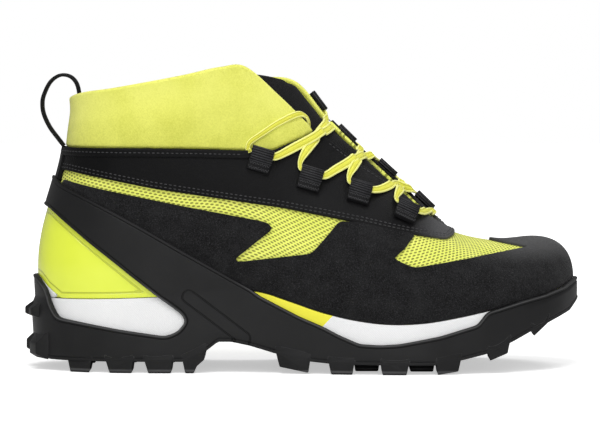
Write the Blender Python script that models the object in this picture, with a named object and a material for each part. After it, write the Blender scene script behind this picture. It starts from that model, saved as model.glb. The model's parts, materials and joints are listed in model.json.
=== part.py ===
"""A mid-height shoe for wet canyon walking, right foot: lugged rubber cup sole with a strap up each side, foam
midsole, mesh upper with overlays, stretch cuff, tongue, webbing lace loops, lace runs and a heel pull loop.
Metres, toe to +X, inner side of the foot to +Y, up is +Z. The tables below are in millimetres."""

import math

import bmesh
import bpy
import numpy as np
from mathutils import Vector
from mathutils.bvhtree import BVHTree

MM = 0.001
OUT, IN = 0, 1

# Shell thicknesses, measured outwards from the mesh surface
UPPER_WALL = 2.2
OVERLAY_IN = 0.3
OVERLAY_OUT = 1.5
EYESTAY_OUT = 1.7
MIDSOLE_SIDE = 1.5
SOLE_IN = 1.8
SOLE_OUT = 4.0
HEEL_EXTRA = 3.0
HEEL_ROWS = 3.0
HEEL_FADE = (0.05, 0.3)
SLAB = 5.2
SLAB_CHAMFER = 1.6
SEAM_GAP = 0.3
CENTRE_Y = -0.6

# One row per section round the shoe, from the heel back to the toe tip. f is the feather line where the upper
# meets the sole, t the top line: collar, cuff front, throat, then the vamp ridge. Columns ending in _o are for
# the outer side, _i for the inner side. bulge and rise shape the wall above f, lean and drop shape it below t,
# flare moves the bottom of the sole out.
COLUMNS = "fx fy_o fy_i fz bulge rise tx_o tx_i ty_o ty_i tz_o tz_i lean drop flare".split()
SIDE_COLUMNS = "fx fy_* fz bulge rise tx_* ty_* tz_* lean drop flare".split()
RAILS = [
    (-139.5, 0.0, 0.0, 38.6, 6.5, 43, -124.8, -124.8, 0.0, 0.0, 145.5, 145.5, -1.8, 48, -1.5),
    (-135.5, -13.5, 13.5, 38.6, 5.5, 43, -121.5, -121.5, -11.0, 11.0, 147.1, 146.3, -2.0, 48, 0.0),
    (-126.0, -24.0, 24.0, 38.7, 4.5, 42, -114.0, -114.0, -20.5, 20.5, 148.7, 147.2, -2.5, 48, 1.0),
    (-111.0, -31.5, 31.0, 39.0, 3.5, 42, -102.0, -102.0, -28.0, 27.5, 150.3, 148.2, -3.0, 48, 1.5),
    (-90.0, -35.0, 33.5, 39.6, 3.0, 42, -84.0, -84.0, -32.0, 31.5, 153.4, 151.0, -3.0, 48, 2.0),
    (-65.0, -35.5, 33.0, 41.0, 2.5, 42, -62.0, -62.0, -33.0, 32.5, 157.6, 154.8, -2.0, 48, 2.0),
    (-40.0, -35.5, 32.0, 42.8, 2.5, 42, -42.0, -42.0, -30.5, 30.5, 161.9, 157.0, -1.0, 46, 1.5),
    (-22.0, -36.5, 32.0, 42.2, 2.5, 43, -29.5, -22.0, -26.0, 26.0, 162.2, 156.2, 2.0, 40, 1.5),
    (-5.0, -38.5, 34.0, 37.7, 3.0, 43, -11.0, -3.0, -20.0, 19.0, 146.3, 154.0, 6.0, 32, 1.5),
    (12.0, -41.5, 38.0, 32.2, 4.0, 41, 8.0, 14.0, -16.0, 13.5, 127.7, 135.0, 11.0, 22, 1.5),
    (30.0, -44.5, 43.0, 28.2, 4.5, 36, 24.0, 29.0, -14.0, 12.0, 114.3, 120.0, 13.0, 14, 1.5),
    (48.0, -46.5, 47.0, 26.4, 4.5, 30, 40.0, 43.5, -13.0, 11.5, 102.8, 106.4, 14.0, 8, 1.5),
    (65.0, -46.5, 48.5, 27.1, 4.0, 26, 53.0, 55.5, -11.5, 11.0, 93.5, 95.4, 15.0, 5.5, 1.5),
    (82.0, -43.5, 47.5, 29.7, 4.0, 23, 63.0, 65.0, -9.0, 10.0, 84.6, 85.8, 15.0, 4.0, 1.0),
    (98.0, -40.0, 45.5, 33.0, 3.5, 20, 71.0, 72.5, -4.5, 8.0, 78.8, 79.4, 15.0, 3.5, 1.0),
    (114.0, -34.0, 41.5, 36.8, 3.5, 17, 79.0, 79.0, 2.5, 2.5, 74.0, 74.0, 16.0, 3.5, 0.5),
    (128.0, -25.5, 34.5, 40.5, 2.5, 15, 92.0, 92.0, 3.5, 3.5, 69.8, 69.8, 17.0, 1.5, 0.5),
    (139.0, -13.0, 23.5, 44.5, 1.0, 15, 105.0, 105.0, 4.5, 4.5, 67.6, 67.6, 18.0, -0.5, 0.0),
    (146.0, 6.0, 6.0, 48.0, 0.0, 16, 118.0, 118.0, 5.0, 5.0, 68.4, 68.4, 18.0, -2.6, 0.0),
]
LAST = len(RAILS) - 1
RIDGE = 15
STATIONS = np.linspace(0, LAST, 25)
UPPER_T = (0, 0.08, 0.18, 0.3, 0.42, 0.54, 0.66, 0.77, 0.88, 1.0)
SOLE_T = (-2.0, -1.7, -1.0, -0.5, 0, 0.08, 0.18, 0.3, 0.42, 0.54, 0.66, 0.77)
SOLE_INNER_T = SOLE_T[2:] + (0.88,)

# Underside of the tread slab along the shoe, between the lugs
BASE_X = (
    -152, -145, -141, -136, -130, -62, -52, -44, -37, -27, -14, 6, 20, 70, 85, 97, 111, 120, 133, 141, 146, 152,
)
BASE_Z = (
    22, 17, 11, 7, 6, 6, 10.5, 16.6, 16.6, 14.6, 10.8, 6.5, 5.2, 5, 7.6, 10.5, 16.8, 21.5, 27.5, 31, 36.5, 44,
)

# Side outlines, x and z, shared by both sides of the shoe and carried right across it
HALF_REACH = 90.0
SKY = 190.0
CUFF_SEAM = [
    (-160, 118.6), (-82, 118.5), (-54.6, 118.2), (-30.3, 117.4), (-15.2, 117.2), (-0.6, 123.4), (16, 131.5),
]
PANEL_EDGE = [
    (-160, 107.2), (-124, 106.1), (-106, 102.7), (-79.8, 97.6), (-53.4, 93.6), (-11.1, 87.3), (31, 78.9),
    (49.6, 74.6), (62.8, 72.0), (77, 69.6), (82.4, 71.6), (84.5, 80.0),
]
STRIPE_EDGE = [(-127, 101.4), (-106.2, 96.9), (-63.9, 88.4), (-21.7, 80.4), (-17.5, 79.3), (-14.8, 76.2)]
ARROW_EDGE = [(-24.3, 68.7), (-35.2, 59.9), (-33.3, 58.7), (4.2, 63.0), (6.3, 64.0), (12.6, 71.0), (20, 79.8)]
VAMP_EDGE = [
    (60.5, 71.0), (54.9, 65.4), (51.7, 60.9), (55.9, 57.0), (60.1, 55.9), (99.7, 60.9), (120, 64.2), (94, 70.2),
]
TOE_ROUND = [(94, 100), (170, 100), (170, 0), (-30, 0)]
STRAP_MID = [(-76, 54), (-96, 68), (-112, 80), (-127, 90)]
COUNTER_FOOT = [(-170, 20), (-62, 20)]
COUNTER_HEEL = [(-134, 95.5), (-170, 97)]
COUNTER_GAP = 0.6
STRAP_TOP = [
    (-28, 45.4), (-42.8, 53.6), (-63.9, 65.3), (-85.1, 77.4), (-106.2, 88.6), (-126.2, 98.6), (-133, 105),
    (-160, 107),
]
SOLE_TOP = [
    (-21.7, 40.9), (-11.1, 35.5), (-0.6, 30.2), (11.5, 25.2), (20.5, 20.6), (31, 16.1), (41.5, 15.5), (52, 16.2),
    (73.1, 20.2), (91.5, 25.8), (98.8, 32.6), (115, 37.3), (128, 40.6), (139, 44.6), (146, 49.5), (160, 52.5),
]
SOLE_BELOW = -20.0
HEEL_CUT = [
    (-160, 87.8), (-138.8, 87.5), (-132.6, 85.9), (-111.5, 68.5), (-75.6, 40.0), (-63.4, 31.3), (-61, 27.3),
    (-65.5, 21.8), (-71.9, 19.4), (-95.6, 22.8), (-128, 28.4), (-132, 36), (-135, 44), (-140, 49.5), (-160, 53),
]

# Lugs along each edge of the sole: rear x, front x, z of the foot at its rear and its front
LUGS = [
    (-122.5, -111.0, 0.0, 0.0),
    (-103.0, -89.0, 0.0, 0.0),
    (-81.4, -69.0, 0.0, 0.0),
    (-61.8, -52.5, 0.0, 0.0),
    (-12.7, 3.6, 0.0, 0.0),
    (14.7, 26.8, 0.0, 0.0),
    (42.0, 54.7, 0.0, 0.0),
    (72.0, 83.0, 0.0, 0.0),
    (99.4, 109.4, 6.5, 11.5),
    (123.0, 131.4, 18.5, 23.5),
]
LUG_IN = 24.0
LUG_STEP = 1.2
LUG_TAPER = 1.2
LUG_LIFT = 3.4
# Lugs in the middle of the sole: x, width, length
CENTRE_LUGS = [(-95.5, 20.0, 12.0), (-74.8, 20.0, 12.0), (34.5, 30.0, 16.0), (63.5, 32.0, 16.0)]
# Studs behind the heel: x of the root and of the tip at the middle, z, height of the root
HEEL_STUDS = [(-144.0, -150.0, 31.0, 8.0), (-143.2, -146.8, 11.0, 5.5)]
STUD_Y = (-16.0, 0.0, 16.0)
STUD_ROOT_HALF = 6.0
STUD_TIP_HALF = 4.0
STUD_TIP_RISE = 1.5
HEEL_CURVE = 0.0235

# Insole: gaps to the inside of the upper at its foot and its top, thickness, height of the rounded rim
INSOLE_GAP = 0.5
INSOLE_TOP_GAP = 1.2
INSOLE_THICK = 4.0
INSOLE_RIM = 1.0

# Tongue: section row of the throat, centre line x and z
TONGUE = [
    (7.0, -11.0, 155.4),
    (7.5, -6.8, 152.6),
    (8.0, -2.4, 148.8),
    (8.5, 5.0, 139.6),
    (9.0, 12.8, 129.6),
    (10.0, 27.6, 117.0),
    (11.0, 41.9, 104.8),
    (12.0, 53.9, 94.4),
    (13.0, 63.2, 84.8),
    (14.0, 71.5, 76.2),
    (15.0, 79.5, 70.2),
    (15.8, 89.0, 66.9),
]
TONGUE_THICK = 3.4
TONGUE_COUNT = 11
TONGUE_NEAR_T = 0.97
# How far the tongue stays inside the throat walls, and how far down them its sides go, by section row
TONGUE_CLEAR = ((8.5, 10.0), (2.4, 0.9))
TONGUE_FAR_T = ((8.0, 10.0), (0.86, 0.80))

# Outer lace loops: x and z of the eye, x and z of the sewn end
LOOPS_OUT = [
    (-20.3, 118.2, -23.6, 106.2),
    (5.8, 106.9, 2.8, 95.9),
    (31.6, 99.4, 28.8, 88.0),
    (56.4, 88.3, 53.1, 77.9),
]
# Inner lace loops: section row, how far the nose stands past the throat edge, thickness of what carries it
LOOPS_IN = [
    (8.64, 1.0, 0.6),
    (9.68, -1.0, EYESTAY_OUT),
    (11.14, -1.0, EYESTAY_OUT),
    (12.92, -1.0, EYESTAY_OUT),
]
LOOP_WIDTH = 12.0
LOOP_LONG = 12.5
LOOP_CLEAR = 0.6
# Sides of a folded loop: distance from its nose, height over what carries it
LOOP_OUTER = [
    (12.5, 0), (7.5, 0), (2, 0), (0.5, 0.7), (0, 1.95), (0.5, 3.2), (2, 3.9), (6.5, 3.9), (9, 2.2), (12.5, 2),
]
LOOP_INNER = [
    (7, 1.7), (6.6, 1.1), (2.2, 1), (1.3, 1.3), (1, 1.95), (1.3, 2.6), (2.2, 2.9), (5.8, 2.9), (6.8, 2.3), (7, 2),
]
LOOP_EYE = (4.0, 1.95)

# Lace: section, clearance over the shoe, gap to the loop, and how a run is led out of a loop and pulled tight
LACE_WIDE = 4.8
LACE_THICK = 1.3
LACE_CLEAR = 3.3
TOUCH = 0.1
LACE_GAP = 2.2
LACE_POINTS = 13
LACE_LEAD = 0.3
LACE_ARCH = (6.0, -5.0, 14.0)
LACE_STEPS = 160
LACE_TURN = 5.0
LACE_TURN_STEPS = 4
END_STEPS = 6
# The outer lace end: points from the top loop over the cuff to where it is tucked in beside the tongue
END_OUT = [
    (-32.0, -35, 117), (-31.0, -35, 122.5), (-23.0, -32.5, 127), (-14.5, -30, 130.5), (-6, -26, 134),
    (0, -21, 136.5), (5, -13, 137),
]

# Pull loop: centre line of the tape from the cuff seam round to the inside of the cuff, x and z
PULL = [
    (-127.9, 119.0), (-130.6, 122.6), (-135.4, 129.1), (-138.6, 136.0), (-139.4, 141.5), (-138.6, 146.4),
    (-135.1, 153.4), (-130.0, 157.0), (-124.8, 156.6), (-121.2, 153.2), (-119.6, 147.4), (-120.0, 140.5),
]
PULL_WIDE = 10.0
PULL_THICK = 1.8

# Colour and roughness of each finish
RUBBER = ((0.02, 0.02, 0.02), 0.7)
FOAM = ((0.82, 0.82, 0.82), 0.6)
FOOTBED = ((0.05, 0.05, 0.05), 0.9)
MESH_CLOTH = ((0.73, 0.79, 0.14), 0.8)
CUFF_CLOTH = ((0.79, 0.81, 0.13), 0.8)
NUBUCK = ((0.02, 0.02, 0.02), 0.9)
PLASTIC = ((0.82, 0.91, 0.07), 0.3)
LEATHER = ((0.012, 0.012, 0.012), 0.5)
TONGUE_CLOTH = ((0.018, 0.018, 0.018), 0.9)
WEBBING = ((0.015, 0.015, 0.015), 0.8)
BRAID = ((0.87, 0.87, 0.13), 0.7)

for old in list(bpy.data.objects):
    bpy.data.objects.remove(old)


# Surface of the shoe
def spline_rows():
    """Both sides' rails with one mirrored row past each end, and their knots."""
    table = np.array(RAILS, float)
    at = {name: i for i, name in enumerate(COLUMNS)}
    sides = []
    for o in "oi":
        side = table[:, [at[c.replace("*", o)] for c in SIDE_COLUMNS]]
        side[:, [1, 6]] += CENTRE_Y
        sides.append(side)
    gaps = np.zeros(LAST)
    for side in sides:
        step = np.diff(side, axis=0)
        gaps += np.linalg.norm(step[:, 0:3], axis=1) + np.linalg.norm(step[:, 5:8], axis=1)
    knots = np.concatenate([[0.0], np.cumsum(gaps / 4)])
    ext = np.concatenate([[-knots[1]], knots, [2 * knots[-1] - knots[-2]]])
    rows = []
    for side, other in ((sides[0], sides[1]), (sides[1], sides[0])):
        rows.append(np.vstack([other[1], side, other[-2]]))
    return rows, knots, ext


ROWS, KNOTS, EXT = spline_rows()


def rail(side, row):
    """The rails' values at a fractional row number, through every row of the table."""
    u = np.interp(row, np.arange(LAST + 1), KNOTS)
    i = int(min(np.searchsorted(EXT, u, side="right"), LAST + 1))
    i = max(i, 2)
    p = ROWS[side]
    h = EXT[i] - EXT[i - 1]
    before = EXT[i - 1] - EXT[i - 2]
    after = EXT[min(i + 1, LAST + 2)] - EXT[i]
    slope = (p[i] - p[i - 1]) / h
    m0 = (slope * before + (p[i - 1] - p[i - 2]) / before * h) / (h + before)
    m1 = (slope * after + (p[min(i + 1, LAST + 2)] - p[i]) / after * h) / (h + after)
    return hermite((u - EXT[i - 1]) / h, p[i - 1], h * m0, p[i], h * m1)


def hermite(s, p0, m0, p1, m1):
    """Cubic from p0 to p1 with slopes m0 and m1, at a share s of the way."""
    low = (2 * s**3 - 3 * s**2 + 1) * p0 + (s**3 - 2 * s**2 + s) * m0
    return low + (3 * s**2 - 2 * s**3) * p1 + (s**3 - s**2) * m1


def fold(side, row):
    """A row number past the heel or the toe goes on along the other side."""
    if row < 0:
        return 1 - side, -row
    if row > LAST:
        return 1 - side, 2 * LAST - row
    return side, row


def outward(side, row):
    """Level direction out of the shoe at the feather line."""
    a = rail(*fold(side, row - 0.02))[0:2]
    b = rail(*fold(side, row + 0.02))[0:2]
    way = unit(b - a)
    return np.array([way[1], -way[0], 0.0]) if side == OUT else np.array([-way[1], way[0], 0.0])


def unit(v):
    return v / np.linalg.norm(v)


def surface(side, row, t):
    """Point on the mesh surface: t 0 at the feather line, 1 at the top line, -1 at the slab, -2 under it."""
    side, row = fold(side, row)
    r = rail(side, row)
    f = r[0:3]
    top = r[5:8]
    if row >= RIDGE:
        top = (top + rail(1 - side, row)[5:8]) / 2
    n = outward(side, row)
    if t >= 0:
        one = f + n * r[3] + np.array([0, 0, r[4]])
        two = top + n * r[8] - np.array([0, 0, r[9]])
        s = 1 - t
        return s**3 * f + 3 * s**2 * t * one + 3 * s * t**2 * two + t**3 * top
    low = f + n * r[10]
    under = np.interp(low[0], BASE_X, BASE_Z)
    low[2] = under + SLAB
    if t >= -1:
        return f + (low - f) * -t
    low[2] = under + SLAB * (2 + t)
    return low


def normal(side, row, t):
    """Outward normal of the mesh surface."""
    e = 0.04
    t = min(t, 0.985)
    along = surface(side, row + e, t) - surface(side, row - e, t)
    up = surface(side, row, min(t + 0.01, 1.0)) - surface(side, row, t - 0.01)
    if t < 0:
        up = np.array([0.0, 0.0, 1.0])
    n = unit(np.cross(along, up))
    return -n if side == IN else n


def point(side, row, t, d=0.0):
    return surface(side, row, t) + normal(side, row, t) * d


def place(side, x, z, d=0.0):
    """The point of one wall that a side view shows at x, z, and the way out there."""
    best = min(
        ((side, r, t) for r in np.linspace(0.5, LAST - 0.5, 60) for t in np.linspace(0.02, 0.98, 33)),
        key=lambda s: (surface(*s)[0] - x) ** 2 + (surface(*s)[2] - z) ** 2,
    )
    row, t = best[1], best[2]
    for _ in range(12):
        p = surface(side, row, t)
        dr = (surface(side, row + 0.01, t) - p) / 0.01
        dt = (surface(side, row, t + 0.005) - p) / 0.005
        jac = np.array([[dr[0], dt[0]], [dr[2], dt[2]]])
        step = np.linalg.solve(jac, np.array([x - p[0], z - p[2]]))
        row = float(np.clip(row + step[0], 0.05, LAST - 0.05))
        t = float(np.clip(t + step[1], 0.01, 0.99))
    return point(side, row, t, d), normal(side, row, t)


# Mesh helpers
def material(name, colour, rough):
    made = bpy.data.materials.new(name)
    made.use_nodes = True
    shader = made.node_tree.nodes["Principled BSDF"]
    shader.inputs["Base Color"].default_value = (*colour, 1)
    shader.inputs["Roughness"].default_value = rough
    made.diffuse_color = (*colour, 1)
    return made


def solid(name, verts, faces):
    """A closed mesh object from points in millimetres, faces turned outwards."""
    mesh = bpy.data.meshes.new(name)
    mesh.from_pydata([tuple(float(c) * MM for c in v) for v in verts], [], faces)
    work = bmesh.new()
    work.from_mesh(mesh)
    bmesh.ops.remove_doubles(work, verts=work.verts, dist=1e-7)
    bmesh.ops.recalc_face_normals(work, faces=work.faces)
    if work.calc_volume(signed=True) < 0:
        bmesh.ops.reverse_faces(work, faces=work.faces)
    work.to_mesh(mesh)
    work.free()
    obj = bpy.data.objects.new(name, mesh)
    bpy.context.scene.collection.objects.link(obj)
    return obj


def boolean(obj, cutter, operation):
    """Cuts, keeps or joins with the exact solver, then drops the cutter."""
    step = obj.modifiers.new("step", "BOOLEAN")
    step.operation = operation
    step.solver = "EXACT"
    step.object = cutter
    bpy.context.view_layer.update()
    graph = bpy.context.evaluated_depsgraph_get()
    made = bpy.data.meshes.new_from_object(obj.evaluated_get(graph))
    obj.modifiers.remove(step)
    obj.data = made
    bpy.data.objects.remove(cutter)
    return obj


def prism(outline):
    """A side outline carried right across the shoe."""
    n = len(outline)
    verts = [(x, y, z) for y in (-HALF_REACH, HALF_REACH) for x, z in outline]
    faces = [tuple(range(n)), tuple(range(2 * n - 1, n - 1, -1))]
    for i in range(n):
        j = (i + 1) % n
        faces.append((i, n + i, n + j, j))
    return solid("cutter", verts, faces)


def ring():
    """Side and row of every column, once round the shoe."""
    there = [(OUT, float(r)) for r in STATIONS]
    back = [(IN, float(r)) for r in STATIONS[-2:0:-1]]
    return there + back


def layer(levels, depth):
    """Rows of points at an offset that may change with row and t; the two sides share the vamp ridge."""
    columns = ring()
    count = len(columns)
    rows = []
    for t in levels:
        line = [point(s, r, t, depth(r, t)) for s, r in columns]
        if t == 1.0:
            for i, (s, r) in enumerate(columns):
                if s == OUT and RIDGE <= r < LAST:
                    j = count - i
                    line[i] = line[j] = (line[i] + line[j]) / 2
        rows.append(line)
    return rows


def shell(name, inner, outer):
    """A wall between two offsets from the upper's surface, open below and, behind the ridge, above."""
    columns = ring()
    n = len(columns)
    verts = []
    for depth in (inner, outer):
        for line in layer(UPPER_T, lambda r, t: depth):
            verts.extend(line)
    count = len(UPPER_T)
    faces = []

    def at(which, k, i):
        return (which * count + k) * n + i % n

    for k in range(count - 1):
        for i in range(n):
            for w in (0, 1):
                faces.append((at(w, k, i), at(w, k, i + 1), at(w, k + 1, i + 1)))
                faces.append((at(w, k, i), at(w, k + 1, i + 1), at(w, k + 1, i)))
    for i in range(n):
        faces.append((at(0, 0, i), at(0, 0, i + 1), at(1, 0, i + 1), at(1, 0, i)))
        if min(columns[i][1], columns[(i + 1) % n][1]) < RIDGE:
            k = count - 1
            faces.append((at(0, k, i), at(1, k, i), at(1, k, i + 1), at(0, k, i + 1)))
    return solid(name, verts, faces)


def block(name, rows):
    """A full body from rings of points, closed by strips from one side to the other at the bottom and top."""
    n = len(rows[0])
    half = n // 2
    verts = [p for line in rows for p in line]
    faces = []
    for k in range(len(rows) - 1):
        for i in range(n):
            j = (i + 1) % n
            faces.append((k * n + i, k * n + j, (k + 1) * n + j))
            faces.append((k * n + i, (k + 1) * n + j, (k + 1) * n + i))
    for base in (0, (len(rows) - 1) * n):
        for i in range(half):
            a, b = base + i, base + i + 1
            c, d = base + (n - i - 1) % n, base + (n - i) % n
            if i == 0:
                faces.append((a, b, c))
            elif i == half - 1:
                faces.append((a, b, d))
            else:
                faces.append((a, b, c, d))
    return solid(name, verts, faces)


def strip(name, sections):
    """A closed strip through four-cornered sections."""
    count = len(sections)
    verts = [p for section in sections for p in section]
    faces = [(0, 1, 2, 3), tuple(4 * count - 4 + i for i in (3, 2, 1, 0))]
    for a in range(0, 4 * count - 4, 4):
        for j in range(4):
            k = (j + 1) % 4
            faces.append((a + j, a + 4 + j, a + 4 + k))
            faces.append((a + j, a + 4 + k, a + k))
    return solid(name, verts, faces)


def paint(obj, finish):
    obj.data.materials.clear()
    obj.data.materials.append(material(obj.name, *finish))
    return obj


# Sole
def sole_depth(row, t):
    """Thickness of the cup: more round the heel, chamfered at the very bottom."""
    heel = max(0.0, 1.0 - row / HEEL_ROWS) * float(np.interp(t, HEEL_FADE, (1, 0)))
    chamfer = SLAB_CHAMFER if t <= SOLE_T[0] else 0.0
    return SOLE_OUT + HEEL_EXTRA * heel - chamfer


def hexahedron(corners):
    """Eight corners, four below then four above, both in turn."""
    faces = [(0, 1, 2, 3), (4, 5, 6, 7), (0, 1, 5, 4), (1, 2, 6, 5), (2, 3, 7, 6), (3, 0, 4, 7)]
    return list(corners), faces


def tapered(x0, x1, y0, y1, z0, z1):
    """A lug: a block narrower at its foot, whose foot may slope, let into the slab."""
    k = LUG_TAPER
    high0 = float(np.interp(x0 - k, BASE_X, BASE_Z)) + LUG_LIFT
    high1 = float(np.interp(x1 + k, BASE_X, BASE_Z)) + LUG_LIFT
    low = [(x0 + k, y0 + k, z0), (x1 - k, y0 + k, z1), (x1 - k, y1 - k, z1), (x0 + k, y1 - k, z0)]
    top = [(x0 - k, y0, high0), (x1 + k, y0, high1), (x1 + k, y1, high1), (x0 - k, y1, high0)]
    return hexahedron(low + top)


def side_y(side, x):
    """How far out the bottom of the sole reaches at one x."""
    edge = np.array([point(side, r, -1.0, SOLE_OUT) for r in np.linspace(0.3, LAST - 0.3, 80)])
    return abs(float(np.interp(x, edge[:, 0], edge[:, 1])))


def stud(root, tip, y, z, tall):
    """A stud on the curved back of the heel, narrower at its tip."""
    back = HEEL_CURVE * y * y
    turn = 2 * HEEL_CURVE * y
    tips = [(tip + back + w * turn, y + w, z - STUD_TIP_RISE) for w in (-STUD_TIP_HALF, STUD_TIP_HALF)]
    roots = [(root + back + w * turn, y + w, z - tall / 2) for w in (-STUD_ROOT_HALF, STUD_ROOT_HALF)]
    low = [tips[0], roots[0], roots[1], tips[1]]
    return hexahedron(low + [(x, v, 2 * z - w) for x, v, w in low])


def make_lugs():
    blocks = []
    for x0, x1, z0, z1 in LUGS:
        for side, way in ((OUT, -1), (IN, 1)):
            edge = min(side_y(side, x0), side_y(side, x1)) + LUG_STEP
            y0, y1 = sorted((way * edge, way * (edge - LUG_IN)))
            blocks.append(tapered(x0, x1, y0, y1, z0, z1))
    for x, wide, long in CENTRE_LUGS:
        half = long / 2
        blocks.append(tapered(x - half, x + half, -wide / 2, wide / 2, 0.0, 0.0))
    for root, tip, z, tall in HEEL_STUDS:
        for y in STUD_Y:
            blocks.append(stud(root, tip, y, z, tall))
    verts = []
    faces = []
    for corners, sides in blocks:
        start = len(verts)
        verts.extend(corners)
        faces.extend([tuple(start + i for i in f) for f in sides])
    return solid("lugs", verts, faces)


def make_outsole():
    made = block("outsole", layer(SOLE_T, sole_depth))
    inner = block("inner", layer(SOLE_INNER_T, lambda r, t: SOLE_IN))
    boolean(made, inner, "DIFFERENCE")
    ends = (STRAP_TOP[-1][0], SOLE_BELOW), (SOLE_TOP[-1][0], SOLE_BELOW)
    boolean(made, prism([ends[0], *STRAP_TOP[::-1], *SOLE_TOP, ends[1]]), "INTERSECT")
    boolean(made, prism(HEEL_CUT), "DIFFERENCE")
    boolean(made, make_lugs(), "UNION")
    return paint(made, RUBBER)


def make_midsole():
    rows = layer((-1.0, -0.5, 0.0), lambda r, t: MIDSOLE_SIDE)
    rows[0] = [p + np.array([0, 0, SEAM_GAP]) for p in rows[0]]
    rows[2] = [p - np.array([0, 0, SEAM_GAP]) for p in rows[2]]
    return paint(block("midsole", rows), FOAM)


def make_insole():
    foot = layer((0.0,), lambda r, t: -UPPER_WALL - INSOLE_GAP)[0]
    top = layer((0.0,), lambda r, t: -UPPER_WALL - INSOLE_TOP_GAP)[0]
    rim = [p + np.array([0, 0, INSOLE_THICK - INSOLE_RIM]) for p in foot]
    top = [p + np.array([0, 0, INSOLE_THICK]) for p in top]
    return paint(block("insole", [foot, rim, top]), FOOTBED)


# Upper and overlays
def above(edge, by=0.0):
    """The region over an edge line."""
    return [(x, z + by) for x, z in edge] + [(edge[-1][0], SKY), (edge[0][0], SKY)]


def make_upper():
    made = shell("upper", -UPPER_WALL, 0.0)
    boolean(made, prism(above(CUFF_SEAM)), "DIFFERENCE")
    return paint(made, MESH_CLOTH)


def make_cuff():
    made = shell("cuff", -UPPER_WALL, 0.0)
    boolean(made, prism(above(CUFF_SEAM, SEAM_GAP)), "INTERSECT")
    return paint(made, CUFF_CLOTH)


def make_eyestay():
    made = shell("eyestay", OVERLAY_IN, EYESTAY_OUT)
    boolean(made, prism(above(CUFF_SEAM)), "DIFFERENCE")
    boolean(made, prism(above(PANEL_EDGE)), "INTERSECT")
    return paint(made, LEATHER)


def make_rand():
    made = shell("rand", OVERLAY_IN, OVERLAY_OUT)
    under_panel = [(x, z - SEAM_GAP) for x, z in PANEL_EDGE[6:8]]
    outline = [*STRIPE_EDGE, *ARROW_EDGE, *under_panel, *VAMP_EDGE, *TOE_ROUND, *STRAP_MID]
    boolean(made, prism(outline), "INTERSECT")
    return paint(made, NUBUCK)


def make_counter():
    made = shell("heel_counter", OVERLAY_IN, OVERLAY_OUT)
    edge = [(x - COUNTER_GAP, z - COUNTER_GAP) for x, z in STRAP_MID]
    boolean(made, prism([*COUNTER_FOOT, *edge, *COUNTER_HEEL]), "INTERSECT")
    return paint(made, PLASTIC)


def tongue_section(row, x, z):
    """Points across the tongue: under one throat wall, over its centre, under the other wall."""
    depth = -UPPER_WALL - float(np.interp(row, *TONGUE_CLEAR))
    far_t = float(np.interp(row, *TONGUE_FAR_T))
    knots = [[point(side, row, t, depth) for t in (far_t, TONGUE_NEAR_T)] for side in (OUT, IN)]
    centre = np.array([x, (knots[OUT][1][1] + knots[IN][1][1]) / 2, z])
    line = np.array([*knots[OUT], centre, *knots[IN][::-1]])
    slope = np.gradient(line, axis=0)
    section = []
    for w in np.linspace(0, len(line) - 1, TONGUE_COUNT):
        i = int(min(math.floor(w), len(line) - 2))
        section.append(hermite(w - i, line[i], slope[i], line[i + 1], slope[i + 1]))
    return section


def make_tongue():
    """Arched strip whose sides run under the two throat edges."""
    top = np.array([tongue_section(*row) for row in TONGUE])
    n = np.cross(np.gradient(top, axis=0), np.gradient(top, axis=1))
    n /= np.linalg.norm(n, axis=2, keepdims=True)
    k, m = top.shape[:2]
    if n[k // 2, m // 2, 2] < 0:
        n = -n
    low = top - n * TONGUE_THICK
    verts = [*top.reshape(-1, 3), *low.reshape(-1, 3)]
    faces = []
    for i in range(k - 1):
        for j in range(m - 1):
            a = i * m + j
            b = a + k * m
            faces.append((a, a + 1, a + m + 1, a + m))
            faces.append((b, b + m, b + m + 1, b + 1))
    edge = [i * m for i in range(k)] + [(k - 1) * m + j for j in range(1, m)]
    edge += [i * m + m - 1 for i in range(k - 2, -1, -1)] + [j for j in range(m - 2, 0, -1)]
    for a, b in zip(edge, edge[1:] + edge[:1]):
        faces.append((a, b, b + k * m, a + k * m))
    return paint(solid("tongue", verts, faces), TONGUE_CLOTH)


# Webbing and lace
def loop_frame_out(x, z, sewn_x, sewn_z):
    """Nose, way down the loop, way along the throat and way out of the shoe, for an outer loop."""
    middle, out = place(OUT, (x + sewn_x) / 2, (z + sewn_z) / 2, EYESTAY_OUT + LOOP_CLEAR)
    down = place(OUT, sewn_x, sewn_z)[0] - place(OUT, x, z)[0]
    down = unit(down - out * down.dot(out))
    wide = unit(np.cross(down, out))
    return middle - down * LOOP_LONG / 2, down, wide if wide[0] > 0 else -wide, out


def loop_frame_in(row, reach, carrier):
    """The same for an inner loop, whose nose stands past the throat edge."""
    edge = point(IN, row, 1.0, carrier + LOOP_CLEAR)
    wide = unit(surface(IN, row + 0.1, 1.0) - surface(IN, row - 0.1, 1.0))
    down = surface(IN, row, TONGUE_NEAR_T) - surface(IN, row, 1.0)
    down = unit(down - wide * down.dot(wide))
    out = unit(np.cross(down, wide))
    if out.dot(normal(IN, row, 1.0)) < 0:
        out = -out
    return edge - down * reach, down, wide, out


def make_loop(name, frame):
    nose, down, wide, out = frame
    verts = []
    for w in (-LOOP_WIDTH / 2, LOOP_WIDTH / 2):
        for s, n in LOOP_OUTER + LOOP_INNER:
            verts.append(nose + down * s + out * n + wide * w)
    m = len(LOOP_OUTER)
    faces = []
    for i in range(m):
        j = (i + 1) % m
        faces.append((i, j, 2 * m + j, 2 * m + i))
        faces.append((m + i, 3 * m + i, 3 * m + j, m + j))
        faces.append((i, m + i, m + j, j))
        faces.append((2 * m + i, 2 * m + j, 3 * m + j, 3 * m + i))
    return paint(solid(name, verts, faces), WEBBING)


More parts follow.
